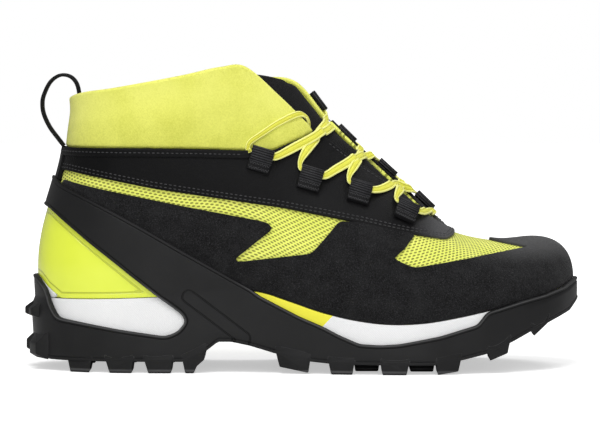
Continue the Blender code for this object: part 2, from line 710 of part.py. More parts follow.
def eye_exit(frame, way):
    """Where the lace comes out of a loop, and its direction there."""
    nose, down, wide, out = frame
    middle = nose + down * LOOP_EYE[0] + out * LOOP_EYE[1]
    return middle + wide * way * (LOOP_WIDTH / 2 + LACE_GAP), wide * way


def obstacles(objects):
    """One tree of the faces the lace lies on, in millimetres."""
    verts = []
    faces = []
    for obj in objects:
        start = len(verts)
        verts.extend([v.co / MM for v in obj.data.vertices])
        faces.extend([tuple(start + i for i in f.vertices) for f in obj.data.polygons])
    return BVHTree.FromPolygons(verts, faces)


def held_off(tree, p, clear):
    """A point moved out of the shoe until it clears the faces, and the way out there."""
    spot, n, _, far = tree.find_nearest(Vector(p))
    spot = np.array(spot)
    n = np.array(n)
    inside = (p - spot).dot(n) < 0
    if far > TOUCH and not inside:
        n = (p - spot) / far
    if far < clear or inside:
        p = spot + n * clear
    return p, n


def taut(tree, start, end):
    """A lace run pulled tight over the shoe between two loops."""
    (a, way_a), (b, way_b) = start, end
    k = np.linalg.norm(b - a) * LACE_LEAD
    s = np.linspace(0, 1, LACE_POINTS)[:, None]
    path = (1 - s) ** 3 * a + 3 * (1 - s) ** 2 * s * (a + way_a * k)
    path = path + 3 * (1 - s) * s**2 * (b + way_b * k) + s**3 * b
    path = path + np.array(LACE_ARCH) * (4 * s * (1 - s))
    for _ in range(LACE_STEPS):
        path[2:-2] = path[2:-2] * 0.4 + (path[1:-3] + path[3:-1]) * 0.3
        for i in range(1, LACE_POINTS - 1):
            path[i] = held_off(tree, path[i], LACE_CLEAR)[0]
    return path


def lace_end(tree, start):
    """The outer end's path, eased and held off the shoe."""
    rough = np.array([start, *END_OUT])
    at = np.linspace(0, len(rough) - 1, LACE_POINTS)
    path = np.array([np.interp(at, np.arange(len(rough)), rough[:, c]) for c in range(3)]).T
    for _ in range(END_STEPS):
        path[1:-1] = path[1:-1] * 0.5 + (path[:-2] + path[2:]) * 0.25
        for i in range(1, LACE_POINTS):
            path[i] = held_off(tree, path[i], LACE_CLEAR)[0]
    return path


def lace_strip(name, tree, path, first, last):
    """A flat lace along a path; its face looks away from the shoe, and turns into the loops at its ends."""
    share = np.linspace(0, 1, len(path))[:, None]
    near = np.clip(1 - LACE_TURN * share, 0, 1)
    end = np.clip(LACE_TURN * (share - 1) + 1, 0, 1)
    ups = np.array([held_off(tree, p, 0.0)[1] for p in path]) * (1 - near - end) + first * near + last * end
    for _ in range(LACE_TURN_STEPS):
        ups /= np.linalg.norm(ups, axis=1, keepdims=True)
        ups[1:-1] = ups[:-2] + 2 * ups[1:-1] + ups[2:]
    sections = []
    for p, way, up in zip(path, np.gradient(path, axis=0), ups):
        side = unit(np.cross(way, up))
        up = unit(np.cross(side, way))
        a, b = side * LACE_WIDE / 2, up * LACE_THICK / 2
        sections.append([p - a - b, p + a - b, p + a + b, p - a + b])
    return paint(strip(name, sections), BRAID)


def make_laces(bodies):
    """Eight loops, the bar and crossings of the lace between them, and its one end that shows."""
    tree = obstacles(bodies)
    outs = [loop_frame_out(*row) for row in LOOPS_OUT]
    ins = [loop_frame_in(*row) for row in LOOPS_IN]
    for i, (out, inner) in enumerate(zip(outs, ins), 1):
        make_loop(f"loop_out_{i}", out)
        make_loop(f"loop_in_{i}", inner)

    def run(name, a, way_a, b, way_b):
        path = taut(tree, eye_exit(outs[a], way_a), eye_exit(ins[b], way_b))
        return lace_strip(name, tree, path, outs[a][3], ins[b][3])

    front = len(outs) - 1
    run("lace_bar", front, 1, front, 1)
    for i in range(front):
        over = run(f"lace_cross_{i + 1}", i, 1, i + 1, -1)
        boolean(over, run("under", i + 1, -1, i, 1), "UNION")
    path = lace_end(tree, eye_exit(outs[0], -1)[0])
    lace_strip("lace_end_out", tree, path, outs[0][3], held_off(tree, path[-1], 0.0)[1])


def make_pull():
    tape = np.array([(x, 0.0, z) for x, z in PULL])
    wide = np.array([0.0, PULL_WIDE / 2, 0.0])
    sections = []
    for p, way in zip(tape, np.gradient(tape, axis=0)):
        way = unit(way)
        n = np.array([-way[2], 0.0, way[0]]) * PULL_THICK / 2
        sections.append([p - wide - n, p + wide - n, p + wide + n, p - wide + n])
    return paint(strip("pull_loop", sections), WEBBING)


make_outsole()
make_midsole()
make_insole()
make_rand()
make_counter()
make_pull()
make_laces([make_upper(), make_cuff(), make_eyestay(), make_tongue()])
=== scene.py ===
"""A canyon walking shoe, right foot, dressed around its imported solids. Sizes are in millimetres."""

import json
import math

import bmesh
import bpy
import numpy as np
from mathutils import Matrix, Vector
from mathutils.bvhtree import BVHTree

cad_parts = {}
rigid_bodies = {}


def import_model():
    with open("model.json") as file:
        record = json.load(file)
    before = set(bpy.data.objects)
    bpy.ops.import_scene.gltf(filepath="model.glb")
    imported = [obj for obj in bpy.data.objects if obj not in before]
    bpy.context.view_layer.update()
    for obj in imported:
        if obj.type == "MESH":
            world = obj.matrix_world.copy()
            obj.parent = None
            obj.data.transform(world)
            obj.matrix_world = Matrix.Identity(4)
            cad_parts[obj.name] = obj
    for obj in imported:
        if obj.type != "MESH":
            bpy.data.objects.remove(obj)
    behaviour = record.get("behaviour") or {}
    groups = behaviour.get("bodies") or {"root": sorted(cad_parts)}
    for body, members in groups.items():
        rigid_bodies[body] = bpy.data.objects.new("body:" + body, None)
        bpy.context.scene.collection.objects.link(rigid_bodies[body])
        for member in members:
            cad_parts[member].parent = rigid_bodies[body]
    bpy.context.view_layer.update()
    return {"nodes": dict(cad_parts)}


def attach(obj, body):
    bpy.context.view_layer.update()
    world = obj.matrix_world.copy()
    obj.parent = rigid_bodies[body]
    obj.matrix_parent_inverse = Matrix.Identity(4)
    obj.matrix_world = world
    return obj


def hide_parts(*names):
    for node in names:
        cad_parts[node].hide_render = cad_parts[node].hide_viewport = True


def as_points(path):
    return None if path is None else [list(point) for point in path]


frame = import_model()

# Mesh upper: one lasted shell of pinholed knit, glued down on the sole at its feather line and open at the
# throat. It is worked out from sections round the last, which every layer above it follows too.
MM = 0.001
CENTRE_Y = -0.6
# Sections of the last, heel to toe: f the feather line, t the top line, _o the outer side, _i the inner
COLUMNS = "fx fy_o fy_i fz bulge rise tx_o tx_i ty_o ty_i tz_o tz_i lean drop flare".split()
LAST = [
    (-139.5, 0.0, 0.0, 38.6, 6.5, 43, -124.8, -124.8, 0.0, 0.0, 145.5, 145.5, -1.8, 48, -1.5),
    (-135.5, -13.5, 13.5, 38.6, 5.5, 43, -121.5, -121.5, -11.0, 11.0, 147.1, 146.3, -2.0, 48, 0.0),
    (-126.0, -24.0, 24.0, 38.7, 4.5, 42, -114.0, -114.0, -20.5, 20.5, 148.7, 147.2, -2.5, 48, 1.0),
    (-111.0, -31.5, 31.0, 39.0, 3.5, 42, -102.0, -102.0, -28.0, 27.5, 150.3, 148.2, -3.0, 48, 1.5),
    (-90.0, -35.0, 33.5, 39.6, 3.0, 42, -84.0, -84.0, -32.0, 31.5, 153.4, 151.0, -3.0, 48, 2.0),
    (-65.0, -35.5, 33.0, 41.0, 2.5, 42, -62.0, -62.0, -33.0, 32.5, 157.6, 154.8, -2.0, 48, 2.0),
    (-40.0, -35.5, 32.0, 44.4, 2.5, 42, -42.0, -42.0, -30.5, 30.5, 161.9, 157.0, -1.0, 46, 1.5),
    (-22.0, -36.5, 32.0, 42.9, 2.5, 43, -29.5, -22.0, -26.0, 26.0, 162.2, 156.2, 2.0, 40, 1.5),
    (-5.0, -38.5, 34.0, 37.7, 3.0, 43, -11.0, -3.0, -20.0, 19.0, 146.3, 154.0, 6.0, 32, 1.5),
    (12.0, -41.5, 38.0, 32.2, 4.0, 41, 8.0, 14.0, -16.0, 13.5, 127.7, 135.0, 11.0, 22, 1.5),
    (30.0, -44.5, 43.0, 28.2, 4.5, 36, 24.0, 29.0, -14.0, 12.0, 114.3, 120.0, 13.0, 14, 1.5),
    (48.0, -46.5, 47.0, 26.4, 4.5, 30, 40.0, 43.5, -13.0, 11.5, 102.8, 106.4, 14.0, 8, 1.5),
    (65.0, -46.5, 48.5, 27.1, 4.0, 26, 53.0, 55.5, -11.5, 11.0, 93.5, 95.4, 15.0, 5.5, 1.5),
    (82.0, -43.5, 47.5, 29.7, 4.0, 23, 63.0, 65.0, -9.0, 10.0, 84.6, 85.8, 15.0, 4.0, 1.0),
    (98.0, -40.0, 45.5, 33.0, 3.5, 20, 71.0, 72.5, -4.5, 8.0, 78.8, 79.4, 15.0, 3.5, 1.0),
    (114.0, -34.0, 41.5, 36.8, 3.5, 17, 79.0, 79.0, 2.5, 2.5, 74.0, 74.0, 16.0, 3.5, 0.5),
    (128.0, -25.5, 34.5, 40.5, 2.5, 15, 92.0, 92.0, 3.5, 3.5, 69.8, 69.8, 17.0, 1.5, 0.5),
    (139.0, -13.0, 23.5, 44.5, 1.0, 15, 105.0, 105.0, 4.5, 4.5, 67.6, 67.6, 18.0, -0.5, 0.0),
    (146.0, 6.0, 6.0, 48.0, 0.0, 16, 118.0, 118.0, 5.0, 5.0, 68.4, 68.4, 18.0, -2.6, 0.0),
]
# Places round the shoe: 0 at the heel, TOE at the toe, ROUND back at the heel; closed on top from row RIDGE
TOE = len(LAST) - 1
ROUND = 2 * TOE
RIDGE = 15
SLAB = 5.2
# Underside of the tread slab in the side view, heel to toe: x, z
BASE = [
    (-152, 22), (-145, 17), (-141, 11), (-136, 7), (-130, 6), (-62, 6), (-52, 10.5), (-44, 16.6),
    (-37, 16.6), (-27, 14.6), (-14, 10.8), (6, 6.5), (20, 5.2), (70, 5), (85, 7.6), (97, 10.5),
    (111, 16.8), (120, 21.5), (133, 27.5), (141, 31), (146, 36.5), (152, 44),
]
# The closed vamp ridge is rounded off over these rows and levels, by a mean of neighbours
RIDGE_SOFT = ((15.0, 16.2), (0.72, 0.95))
RIDGE_STEP = 0.05
RIDGE_WEIGHTS = (1, 2, 3, 2, 1)
# Steps that slopes are read over, the highest level they are read at, and where the sole's walls turn upright
ROUND_STEP, LEVEL_STEP = 0.03, 0.008
UNDER_TOP = 0.985
UPRIGHT = (-0.25, 0.2)
UP = np.array([0.0, 0.0, 1.0])
last = {name: np.array(column, float) for name, column in zip(COLUMNS, zip(*LAST))}


def slab_foot(x):
    """Height of the slab's underside."""
    return np.interp(x, *zip(*BASE))


def once_round(outer, inner):
    """A column of the last from the heel along the outer side to the toe and back along the inner side."""
    return np.concatenate([outer, inner[-2:0:-1]])


ONE_SIDE = "fx fy_* fz bulge rise tx_* ty_* tz_* lean drop flare".split()
AROUND = np.stack(
    [once_round(last[c.replace("*", "o")], last[c.replace("*", "i")]) for c in ONE_SIDE], axis=1
)
AROUND[:, [1, 6]] += CENTRE_Y
steps = np.roll(AROUND, -1, axis=0) - AROUND
reach = np.linalg.norm(steps[:, 0:3], axis=1) + np.linalg.norm(steps[:, 5:8], axis=1)
SPACING = (reach + reach[::-1]) / 4


def ease(low, high, value):
    share = np.clip((value - low) / (high - low), 0, 1)
    return share * share * (3 - 2 * share)


def unit(v):
    return v / np.maximum(np.linalg.norm(v, axis=-1, keepdims=True), 1e-9)


def row_of(a):
    """Section number of a place round the shoe, the same on both sides."""
    return np.minimum(a % ROUND, ROUND - a % ROUND)


def hermite(s, p0, p1, m0, m1):
    """A smooth way from one value to the next, with a slope at each end."""
    return ((2 * s**3 - 3 * s**2 + 1) * p0 + (s**3 - 2 * s**2 + s) * m0
            + (3 * s**2 - 2 * s**3) * p1 + (s**3 - s**2) * m1)


def sections(a):
    """The last's values at places round the shoe: 0 at the heel, TOE at the tip, then the inner side."""
    a = np.asarray(a, float) % ROUND
    i = np.floor(a).astype(int) % ROUND
    s = (a - np.floor(a))[..., None]
    p0, p1, p2, p3 = (AROUND[(i + k) % ROUND] for k in (-1, 0, 1, 2))
    before, here, after = (SPACING[(i + k) % ROUND][..., None] for k in (-1, 0, 1))
    slope = (p2 - p1) / here
    m1 = (slope * before + (p1 - p0) / before * here) / (here + before)
    m2 = (slope * after + (p3 - p2) / after * here) / (here + after)
    return hermite(s, p1, p2, here * m1, here * m2)


def wall(a, t):
    """Points of the last: t 0 at the feather line, 1 at the top line, -1 on the tread slab, -2 under it."""
    f, bulge, rise, top, lean, drop, flare = np.split(sections(a), (3, 4, 5, 8, 9, 10), axis=-1)
    closed = (row_of(a) >= RIDGE)[..., None]
    top = np.where(closed, (top + sections(ROUND - a)[..., 5:8]) / 2, top)
    way = unit(sections(a + 0.02)[..., 0:2] - sections(a - 0.02)[..., 0:2])
    out = np.stack([way[..., 1], -way[..., 0], np.zeros(way.shape[:-1])], axis=-1)
    one = f + out * bulge + UP * rise
    two = top + out * lean - UP * drop
    s = np.clip(t, 0, 1)[..., None]
    high = (1 - s) ** 3 * f + 3 * (1 - s) ** 2 * s * one + 3 * (1 - s) * s**2 * two + s**3 * top
    down = np.clip(-t, 0, 1)[..., None]
    foot = f + out * flare
    under = slab_foot(foot[..., 0]) + SLAB * np.clip(2 + t, 0, 1)
    foot = np.concatenate([foot[..., 0:2], under[..., None]], axis=-1)
    return np.where((t < 0)[..., None], f + (foot - f) * down, high)


def over_ridge(a, t):
    """The last again, where t past 1 goes on down the other side of the vamp."""
    past = t > 1
    return wall(np.where(past, ROUND - a, a), np.where(past, 2 - t, t))


def skin(a, t):
    """The outer face of the bare upper, its vamp ridge rounded off."""
    a, t = np.broadcast_arrays(np.asarray(a, float) % ROUND, np.asarray(t, float))
    p = over_ridge(a, t)
    rows, levels = RIDGE_SOFT
    share = ease(*rows, row_of(a)) * ease(*levels, t)
    if share.any():
        near = [w * over_ridge(a, t + k * RIDGE_STEP) for k, w in zip(range(-2, 3), RIDGE_WEIGHTS)]
        p = p + (sum(near) / sum(RIDGE_WEIGHTS) - p) * share[..., None]
    return p


def normals(a, t):
    """Ways out of the shoe at those points."""
    a, t = np.broadcast_arrays(np.asarray(a, float) % ROUND, np.asarray(t, float))
    high = np.where(row_of(a) >= RIDGE, t, np.minimum(t, UNDER_TOP))
    along = skin(a + ROUND_STEP, high) - skin(a - ROUND_STEP, high)
    up = unit(skin(a, high + LEVEL_STEP) - skin(a, high - LEVEL_STEP))
    share = ease(*UPRIGHT, t)[..., None]
    return unit(np.cross(along, UP * (1 - share) + up * share))


# Soft troughs and ridges of the lasted cloth: side (-1 outer, 1 inner, 0 both), both ends in the side
# view, half width, depth with a minus for a trough
CREASES = [
    (0, (-122, 138), (-70, 146), 7.0, -0.7),
    (0, (-118, 127), (-60, 131), 9.0, 0.5),
    (0, (-60, 126), (-22, 138), 8.0, -0.6),
    (0, (-34, 150), (-12, 134), 6.0, 0.5),
    (-1, (18, 62), (40, 48), 9.0, -0.5),
    (-1, (44, 50), (52, 36), 7.0, 0.4),
    (1, (22, 60), (44, 46), 8.0, -0.7),
    (0, (86, 58), (96, 44), 8.0, -0.3),
    (0, (-60, 104), (-10, 98), 9.0, 0.5),
]
SIDE_BLEND = 12.0
CREASE_BLEND = (0.0, 0.25)


def off_line(x, z, start, end):
    """Steps in x and z to places from the nearest point of a straight line in the side view."""
    (x0, z0), (x1, z1) = start, end
    dx, dz = x1 - x0, z1 - z0
    k = np.clip(((x - x0) * dx + (z - z0) * dz) / max(dx * dx + dz * dz, 1e-9), 0, 1)
    return x - x0 - k * dx, z - z0 - k * dz


def relief(p):
    """Height of the creases at points of the upper."""
    total = np.zeros(p.shape[:-1])
    for side, start, end, half, depth in CREASES:
        far = np.hypot(*off_line(p[..., 0], p[..., 2], start, end))
        here = np.ones(far.shape) if side == 0 else ease(-SIDE_BLEND, SIDE_BLEND, p[..., 1] * side)
        total = total + depth * np.exp(-((far / half) ** 2)) * here
    return total


def travelled(path):
    """Length of a path up to each of its points."""
    return np.concatenate([[0.0], np.cumsum(np.linalg.norm(np.diff(path, axis=0), axis=1))])


class Grid:
    """Points, normals and surface lengths of the shoe on a net of places round it and levels up it."""

    def __init__(self, count, levels):
        self.a = np.arange(count) * ROUND / count
        self.t = np.array(levels, float)
        a, t = self.a[:, None], self.t[None, :]
        self.p = skin(a, t)
        self.n = normals(a, t)
        self.level = np.broadcast_to(t, self.p.shape[:2])
        self.p = self.p + self.n * (relief(self.p) * ease(*CREASE_BLEND, self.level))[..., None]
        self.row = np.broadcast_to(row_of(a), self.p.shape[:2])
        self.x, self.y, self.z = (self.p[..., k] for k in range(3))
        self.up = unit(np.gradient(self.p, axis=1))
        rise = np.linalg.norm(np.diff(self.p, axis=1), axis=2)
        self.v = np.concatenate([np.zeros((count, 1)), np.cumsum(rise, axis=1)], axis=1)
        self.u = np.broadcast_to(travelled(skin(self.a, 0.5))[:, None], self.v.shape)

    def ids(self):
        """Vertex numbers of the net, where the two sides share the closed vamp ridge."""
        n, m = self.v.shape
        node = np.arange(n * m).reshape(n, m)
        if self.t[-1] == 1.0:
            for i in range(n // 2 + 1, n):
                if self.row[i, 0] >= RIDGE:
                    node[i, -1] = node[n - i, -1]
        return node


LINE_STEPS = 160.0


def soft_outline(points, passes=5):
    """A closed side outline with a point every millimetre and its corners eased."""
    line = np.array(points, float)
    dense = []
    for p, q in zip(line, np.roll(line, -1, axis=0)):
        count = max(int(min(np.linalg.norm(q - p), LINE_STEPS)), 1)
        dense.extend(p + (q - p) * k / count for k in range(count))
    dense = np.array(dense)
    for _ in range(passes):
        dense = dense * 0.5 + (np.roll(dense, 1, axis=0) + np.roll(dense, -1, axis=0)) * 0.25
    return dense


def region(grid, outline, passes=5):
    """Distance in from a side outline, measured on the shoe and positive inside, and the way in."""
    line = soft_outline(outline, passes)
    best = np.full(grid.x.shape, 1e12)
    ex, ez = np.zeros(grid.x.shape), np.zeros(grid.x.shape)
    odd = np.zeros(grid.x.shape, bool)
    for (ax, az), (bx, bz) in zip(line, np.roll(line, -1, axis=0)):
        fx, fz = off_line(grid.x, grid.z, (ax, az), (bx, bz))
        far = fx * fx + fz * fz
        closer = far < best
        best = np.where(closer, far, best)
        ex, ez = np.where(closer, fx, ex), np.where(closer, fz, ez)
        if az != bz:
            crossing = ax + (grid.z - az) / (bz - az) * (bx - ax)
            odd ^= ((az > grid.z) != (bz > grid.z)) & (grid.x < crossing)
    far = np.sqrt(best)
    sign = np.where(odd, 1.0, -1.0)
    way = np.stack([ex, np.zeros(ex.shape), ez], axis=-1) * (sign / np.maximum(far, 1e-6))[..., None]
    flat = way - grid.n * (way * grid.n).sum(-1, keepdims=True)
    size = np.maximum(np.linalg.norm(flat, axis=-1), 0.3)
    return sign * far / size, unit(flat)


def below_top(grid):
    """Distance down from the collar and throat edge, and the way down."""
    far = np.where(grid.row >= RIDGE, 1e3, grid.v[:, -1:] - grid.v)
    return far, -grid.up


def above_feather(grid):
    """Distance up from the feather line, and the way up."""
    start = int(np.searchsorted(grid.t, 0.0))
    return grid.v - grid.v[:, start : start + 1], grid.up


def outside(field):
    return -field[0], -field[1]


def within(*fields):
    """The part that lies inside every one of some fields."""
    depth, way = fields[0]
    for other, turn in fields[1:]:
        closer = other < depth
        depth = np.where(closer, other, depth)
        way = np.where(closer[..., None], turn, way)
    return depth, way


def cells(grid, depth, level):
    """Polygons of the net where depth is over a level, with the cut places on the net's edges."""
    node = grid.ids()
    flat = depth.ravel()
    n, m = node.shape
    nxt = np.roll(node, -1, axis=0)
    corners = np.stack([node[:, :-1], nxt[:, :-1], nxt[:, 1:], node[:, 1:]], axis=-1).reshape(-1, 4)
    inside = flat[corners] > level
    full = corners[inside.all(axis=1)]
    cuts, found, polygons, sides = {}, [], [list(map(int, q)) for q in full], []

    def cut(u, v):
        key = (min(u, v), max(u, v))
        if key not in cuts:
            cuts[key] = n * m + len(found)
            found.append((key[0], key[1], (level - flat[key[0]]) / (flat[key[1]] - flat[key[0]])))
        return cuts[key]

    partly = inside.any(axis=1) & ~inside.all(axis=1)
    for quad, state in zip(corners[partly], inside[partly]):
        made, ends = [], []
        for k in range(4):
            u, v = int(quad[k]), int(quad[(k + 1) % 4])
            if state[k]:
                made.append(u)
            if state[k] != state[(k + 1) % 4] and u != v:
                ends.append(cut(u, v))
                made.append(ends[-1])
        made = [q for k, q in enumerate(made) if q != made[k - 1]]
        if len(made) > 2:
            polygons.append(made)
        if len(ends) == 2:
            sides.append(tuple(ends))
    return polygons, found, sides


def spread(values, found):
    """Net values with the cut places' values after them."""
    flat = values.reshape(-1, *values.shape[2:])
    if not found:
        return flat
    u, v, k = (np.array(c) for c in zip(*found))
    k = k.reshape(-1, *([1] * (flat.ndim - 1)))
    return np.concatenate([flat, flat[u.astype(int)] * (1 - k) + flat[v.astype(int)] * k])


scene = bpy.context.scene
CREASE_ANGLE = math.radians(48)


def add_object(name, verts, faces):
    """A mesh piece from points in millimetres, in place and smooth shaded."""
    mesh = bpy.data.meshes.new(name)
    mesh.from_pydata(np.asarray(verts, float) * MM, [], faces)
    mesh.update()
    made = bpy.data.objects.new(name, mesh)
    scene.collection.objects.link(made)
    mesh.shade_smooth()
    return made


def set_uv(mesh, uv, seam=False):
    """A UV map in millimetres from values on the vertices; with a seam, faces across the heel stay whole."""
    corner = np.zeros(len(mesh.loops), int)
    mesh.loops.foreach_get("vertex_index", corner)
    values = uv[corner].copy()
    if seam:
        starts = np.zeros(len(mesh.polygons), int)
        mesh.polygons.foreach_get("loop_start", starts)
        whole = uv[:, 0].max() - uv[:, 0].min()
        high = np.maximum.reduceat(values[:, 0], starts)
        low = np.minimum.reduceat(values[:, 0], starts)
        owner = np.repeat(np.arange(len(starts)), np.diff(np.append(starts, len(values))))
        values[(high - low > whole / 2)[owner] & (values[:, 0] < whole / 2), 0] += whole
    mesh.uv_layers.new(name="cloth").data.foreach_set("uv", values.astype(np.float32).ravel())


def set_mark(mesh, name, values):
    mark = mesh.attributes.new(name, "FLOAT", "POINT")
    mark.data.foreach_set("value", np.asarray(values, np.float32))


def panel(name, grid, field, profile, lift=None, marks=None):
    """A closed piece of sheet goods laid on the shoe wherever field is positive. profile walks round its cut
    edge, top to underside: distance in from the edge, height over the upper. lift raises the outer side."""
    depth, way = field
    inset, top = profile[0]
    polygons, found, _ = cells(grid, depth, inset)
    p, n, inward = spread(grid.p, found), unit(spread(grid.n, found)), unit(spread(way, found))
    uv = np.stack([spread(grid.u, found), spread(grid.v, found)], axis=-1)
    raised = spread(lift, found) if lift is not None else np.zeros(len(p))
    kept = sorted({v for f in polygons for v in f})
    new = {v: k for k, v in enumerate(kept)}
    polygons = [[new[v] for v in f] for f in polygons]
    p, n, inward, uv, raised = (c[kept] for c in (p, n, inward, uv, raised))
    directed = {(f[k - 1], f[k]) for f in polygons for k in range(len(f))}
    border = sorted(edge for edge in directed if edge[::-1] not in directed)
    rim = sorted({v for e in border for v in e})
    on_rim = {v: k for k, v in enumerate(rim)}
    count = len(p)

    def heights(height, where):
        share = min(max(height / top, 0.0), 1.0) if top > 0 else 0.0
        return n[where] * (height + raised[where] * share)[:, None]

    every = np.arange(count)
    verts = [p + heights(top, every), p + heights(profile[-1][1], every)]
    sources = [every, every]
    insets = [spread(depth, found)[kept], np.full(count, inset)]
    for distance, height in profile[1:-1]:
        verts.append(p[rim] - inward[rim] * (inset - distance) + heights(height, rim))
        sources.append(np.array(rim, int))
        insets.append(np.full(len(rim), distance))
    faces = polygons + [[count + v for v in reversed(f)] for f in polygons]
    rows = len(profile)

    def at(k, v):
        if k == 0:
            return v
        return count + v if k == rows - 1 else 2 * count + (k - 1) * len(rim) + on_rim[v]

    for u, v in border:
        for k in range(rows - 1):
            faces.append([at(k, v), at(k, u), at(k + 1, u), at(k + 1, v)])
    made = add_object(name, np.concatenate(verts), faces)
    source = np.concatenate(sources)
    set_uv(made.data, uv[source], seam=True)
    set_mark(made.data, "edge", np.concatenate(insets))
    for mark, values in (marks or {}).items():
        set_mark(made.data, mark, spread(values, found)[kept][source])
    made.data.set_sharp_from_angle(angle=CREASE_ANGLE)
    made["underside"] = [len(polygons), 2 * len(polygons)]
    return made


def srgb(*levels):
    """Linear colour from 0 to 255 levels as a screen shows them."""
    share = [v / 255 for v in levels]
    return tuple(v / 12.92 if v <= 0.04045 else ((v + 0.055) / 1.055) ** 2.4 for v in share)


class Wire:
    """One socket of a node tree; sums written with it add Math nodes."""

    def __init__(self, tree, socket=None):
        self.tree = tree
        self.socket = socket

    def node(self, kind, settings=None, inputs=None, out=0):
        """A new node with its settings and its sockets' values or links, as the wire from one output."""
        made = self.tree.nodes.new(kind)
        for key, value in (settings or {}).items():
            setattr(made, key, value)
        for key, value in (inputs or {}).items():
            if isinstance(value, Wire):
                self.tree.links.new(value.socket, made.inputs[key])
            else:
                made.inputs[key].default_value = value
        return Wire(self.tree, made.outputs[out])

    def maths(self, operation, *values):
        return self.node("ShaderNodeMath", {"operation": operation}, dict(enumerate(values)))

    def __add__(self, other):
        return self.maths("ADD", self, other)

    __radd__ = __add__

    def __sub__(self, other):
        return self.maths("SUBTRACT", self, other)

    def __rsub__(self, other):
        return self.maths("SUBTRACT", other, self)

    def __mul__(self, other):
        return self.maths("MULTIPLY", self, other)

    __rmul__ = __mul__

    def __truediv__(self, other):
        return self.maths("DIVIDE", self, other)

    def fraction(self):
        return self.maths("FRACT", self)

    def whole(self):
        return self.maths("FLOOR", self)

    def size(self):
        return self.maths("ABSOLUTE", self)

    def sine(self):
        return self.maths("SINE", self)

    def step(self, low, high):
        """0 below low, 1 above high, eased between."""
        limits = {0: self, 1: low, 2: high}
        return self.node("ShaderNodeMapRange", {"interpolation_type": "SMOOTHSTEP"}, limits)

    def mix(self, first, second):
        """first where this is 0, second where it is 1, for colours."""
        ends = [(*c, 1) if isinstance(c, tuple) else c for c in (first, second)]
        return self.node("ShaderNodeMix", {"data_type": "RGBA"}, {0: self, 6: ends[0], 7: ends[1]}, 2)

    def xyz(self):
        made = self.node("ShaderNodeSeparateXYZ", None, {0: self})
        return [Wire(self.tree, s) for s in made.socket.node.outputs]

    def place(self):
        """Coordinates of the piece itself, in metres."""
        return self.node("ShaderNodeTexCoord", None, None, 3)

    def cloth(self):
        """Coordinates of the piece's own cloth, in millimetres."""
        return self.node("ShaderNodeUVMap", {"uv_map": "cloth"}).xyz()

    def mark(self, name):
        return self.node("ShaderNodeAttribute", {"attribute_name": name}, None, 2)

    def noise(self, scale, detail=2.0, rough=0.5):
        return self.node(
            "ShaderNodeTexNoise", None,
            {"Vector": self.place(), "Scale": scale, "Detail": detail, "Roughness": rough},
        )

    def pebbles(self, scale):
        return self.node("ShaderNodeTexVoronoi", None, {"Vector": self.place(), "Scale": scale})

    def bump(self, height, distance, strength=1.0):
        inputs = {"Height": height, "Distance": distance, "Strength": strength}
        return self.node("ShaderNodeBump", None, inputs)

    def into(self, shader, name):
        self.tree.links.new(self.socket, shader.inputs[name])


def new_finish(name, colour, rough, **fixed):
    """A Principled material with its constant values set, and a wire to write its nodes with."""
    made = bpy.data.materials.new(name)
    made.use_nodes = True
    shader = made.node_tree.nodes["Principled BSDF"]
    shader.inputs["Base Color"].default_value = (*colour, 1)
    shader.inputs["Roughness"].default_value = rough
    for key, value in fixed.items():
        shader.inputs[key.replace("_", " ").title().replace("Ior", "IOR")].default_value = value
    return made, shader, Wire(made.node_tree)


MESH_YELLOW = srgb(229, 235, 104)
MESH_KNIT = (srgb(230, 238, 96), srgb(250, 253, 124))
MESH_HOLE = srgb(142, 146, 46)
HOLE_PITCH = (2.75, 1.55)
HOLE_SIZE = (0.95, 0.48)
HOLE_SLANT = 0.25
# Slope of the rows of holes on the side and on the vamp, and where along the shoe one gives way to the other
MESH_TURN = (math.radians(-14), math.radians(9))
MESH_TURN_AT = (30 * MM, 44 * MM)


def mesh_finish():
    """Yellow knit with rows of slanting oval pinholes, every other row set over by half a hole."""
    made, shader, w = new_finish("pinholed_mesh", MESH_YELLOW, 0.75, sheen_weight=0.15)
    u, v, _ = w.cloth()
    front = w.place().xyz()[0].step(*MESH_TURN_AT)
    turned = []
    for angle in MESH_TURN:
        c, s = math.cos(angle), math.sin(angle)
        turned.append((u * c + v * s, v * c - u * s))
    along = turned[0][0] + (turned[1][0] - turned[0][0]) * front
    across = turned[0][1] + (turned[1][1] - turned[0][1]) * front
    line = across / HOLE_PITCH[1]
    odd = (line.whole() / 2).fraction()
    du = ((along / HOLE_PITCH[0] + odd).fraction() - 0.5) * (HOLE_PITCH[0] / HOLE_SIZE[0])
    dv = (line.fraction() - 0.5) * (HOLE_PITCH[1] / HOLE_SIZE[1])
    du = du - dv * HOLE_SLANT
    hole = 1 - (du * du + dv * dv).step(0.45, 1.25)
    yarn = w.noise(2600, 2)
    shade = w.noise(60, 2)
    knit = (shade * 0.6 + yarn * 0.4).step(0.25, 0.8).mix(*MESH_KNIT)
    hole.mix(knit, MESH_HOLE).into(shader, "Base Color")
    w.bump(yarn * 0.25 - hole, 0.0004, 0.8).into(shader, "Normal")
    return made


def lining_finish(name, bound=0.0):
    """Dark brushed lining inside the shoe, yellow for a way down from an open edge that is bound."""
    made, shader, w = new_finish(name, srgb(44, 45, 46), 0.95, specular_ior_level=0.1)
    nap = w.noise(1500, 3)
    cloth = nap.mix(srgb(26, 27, 28), srgb(54, 55, 56))
    if bound:
        yellow = nap.mix(srgb(214, 216, 78), srgb(242, 244, 112))
        cloth = w.mark("throat").step(bound - 0.3, bound + 0.3).mix(yellow, cloth)
    cloth.into(shader, "Base Color")
    w.bump(nap, 0.0003).into(shader, "Normal")
    return made


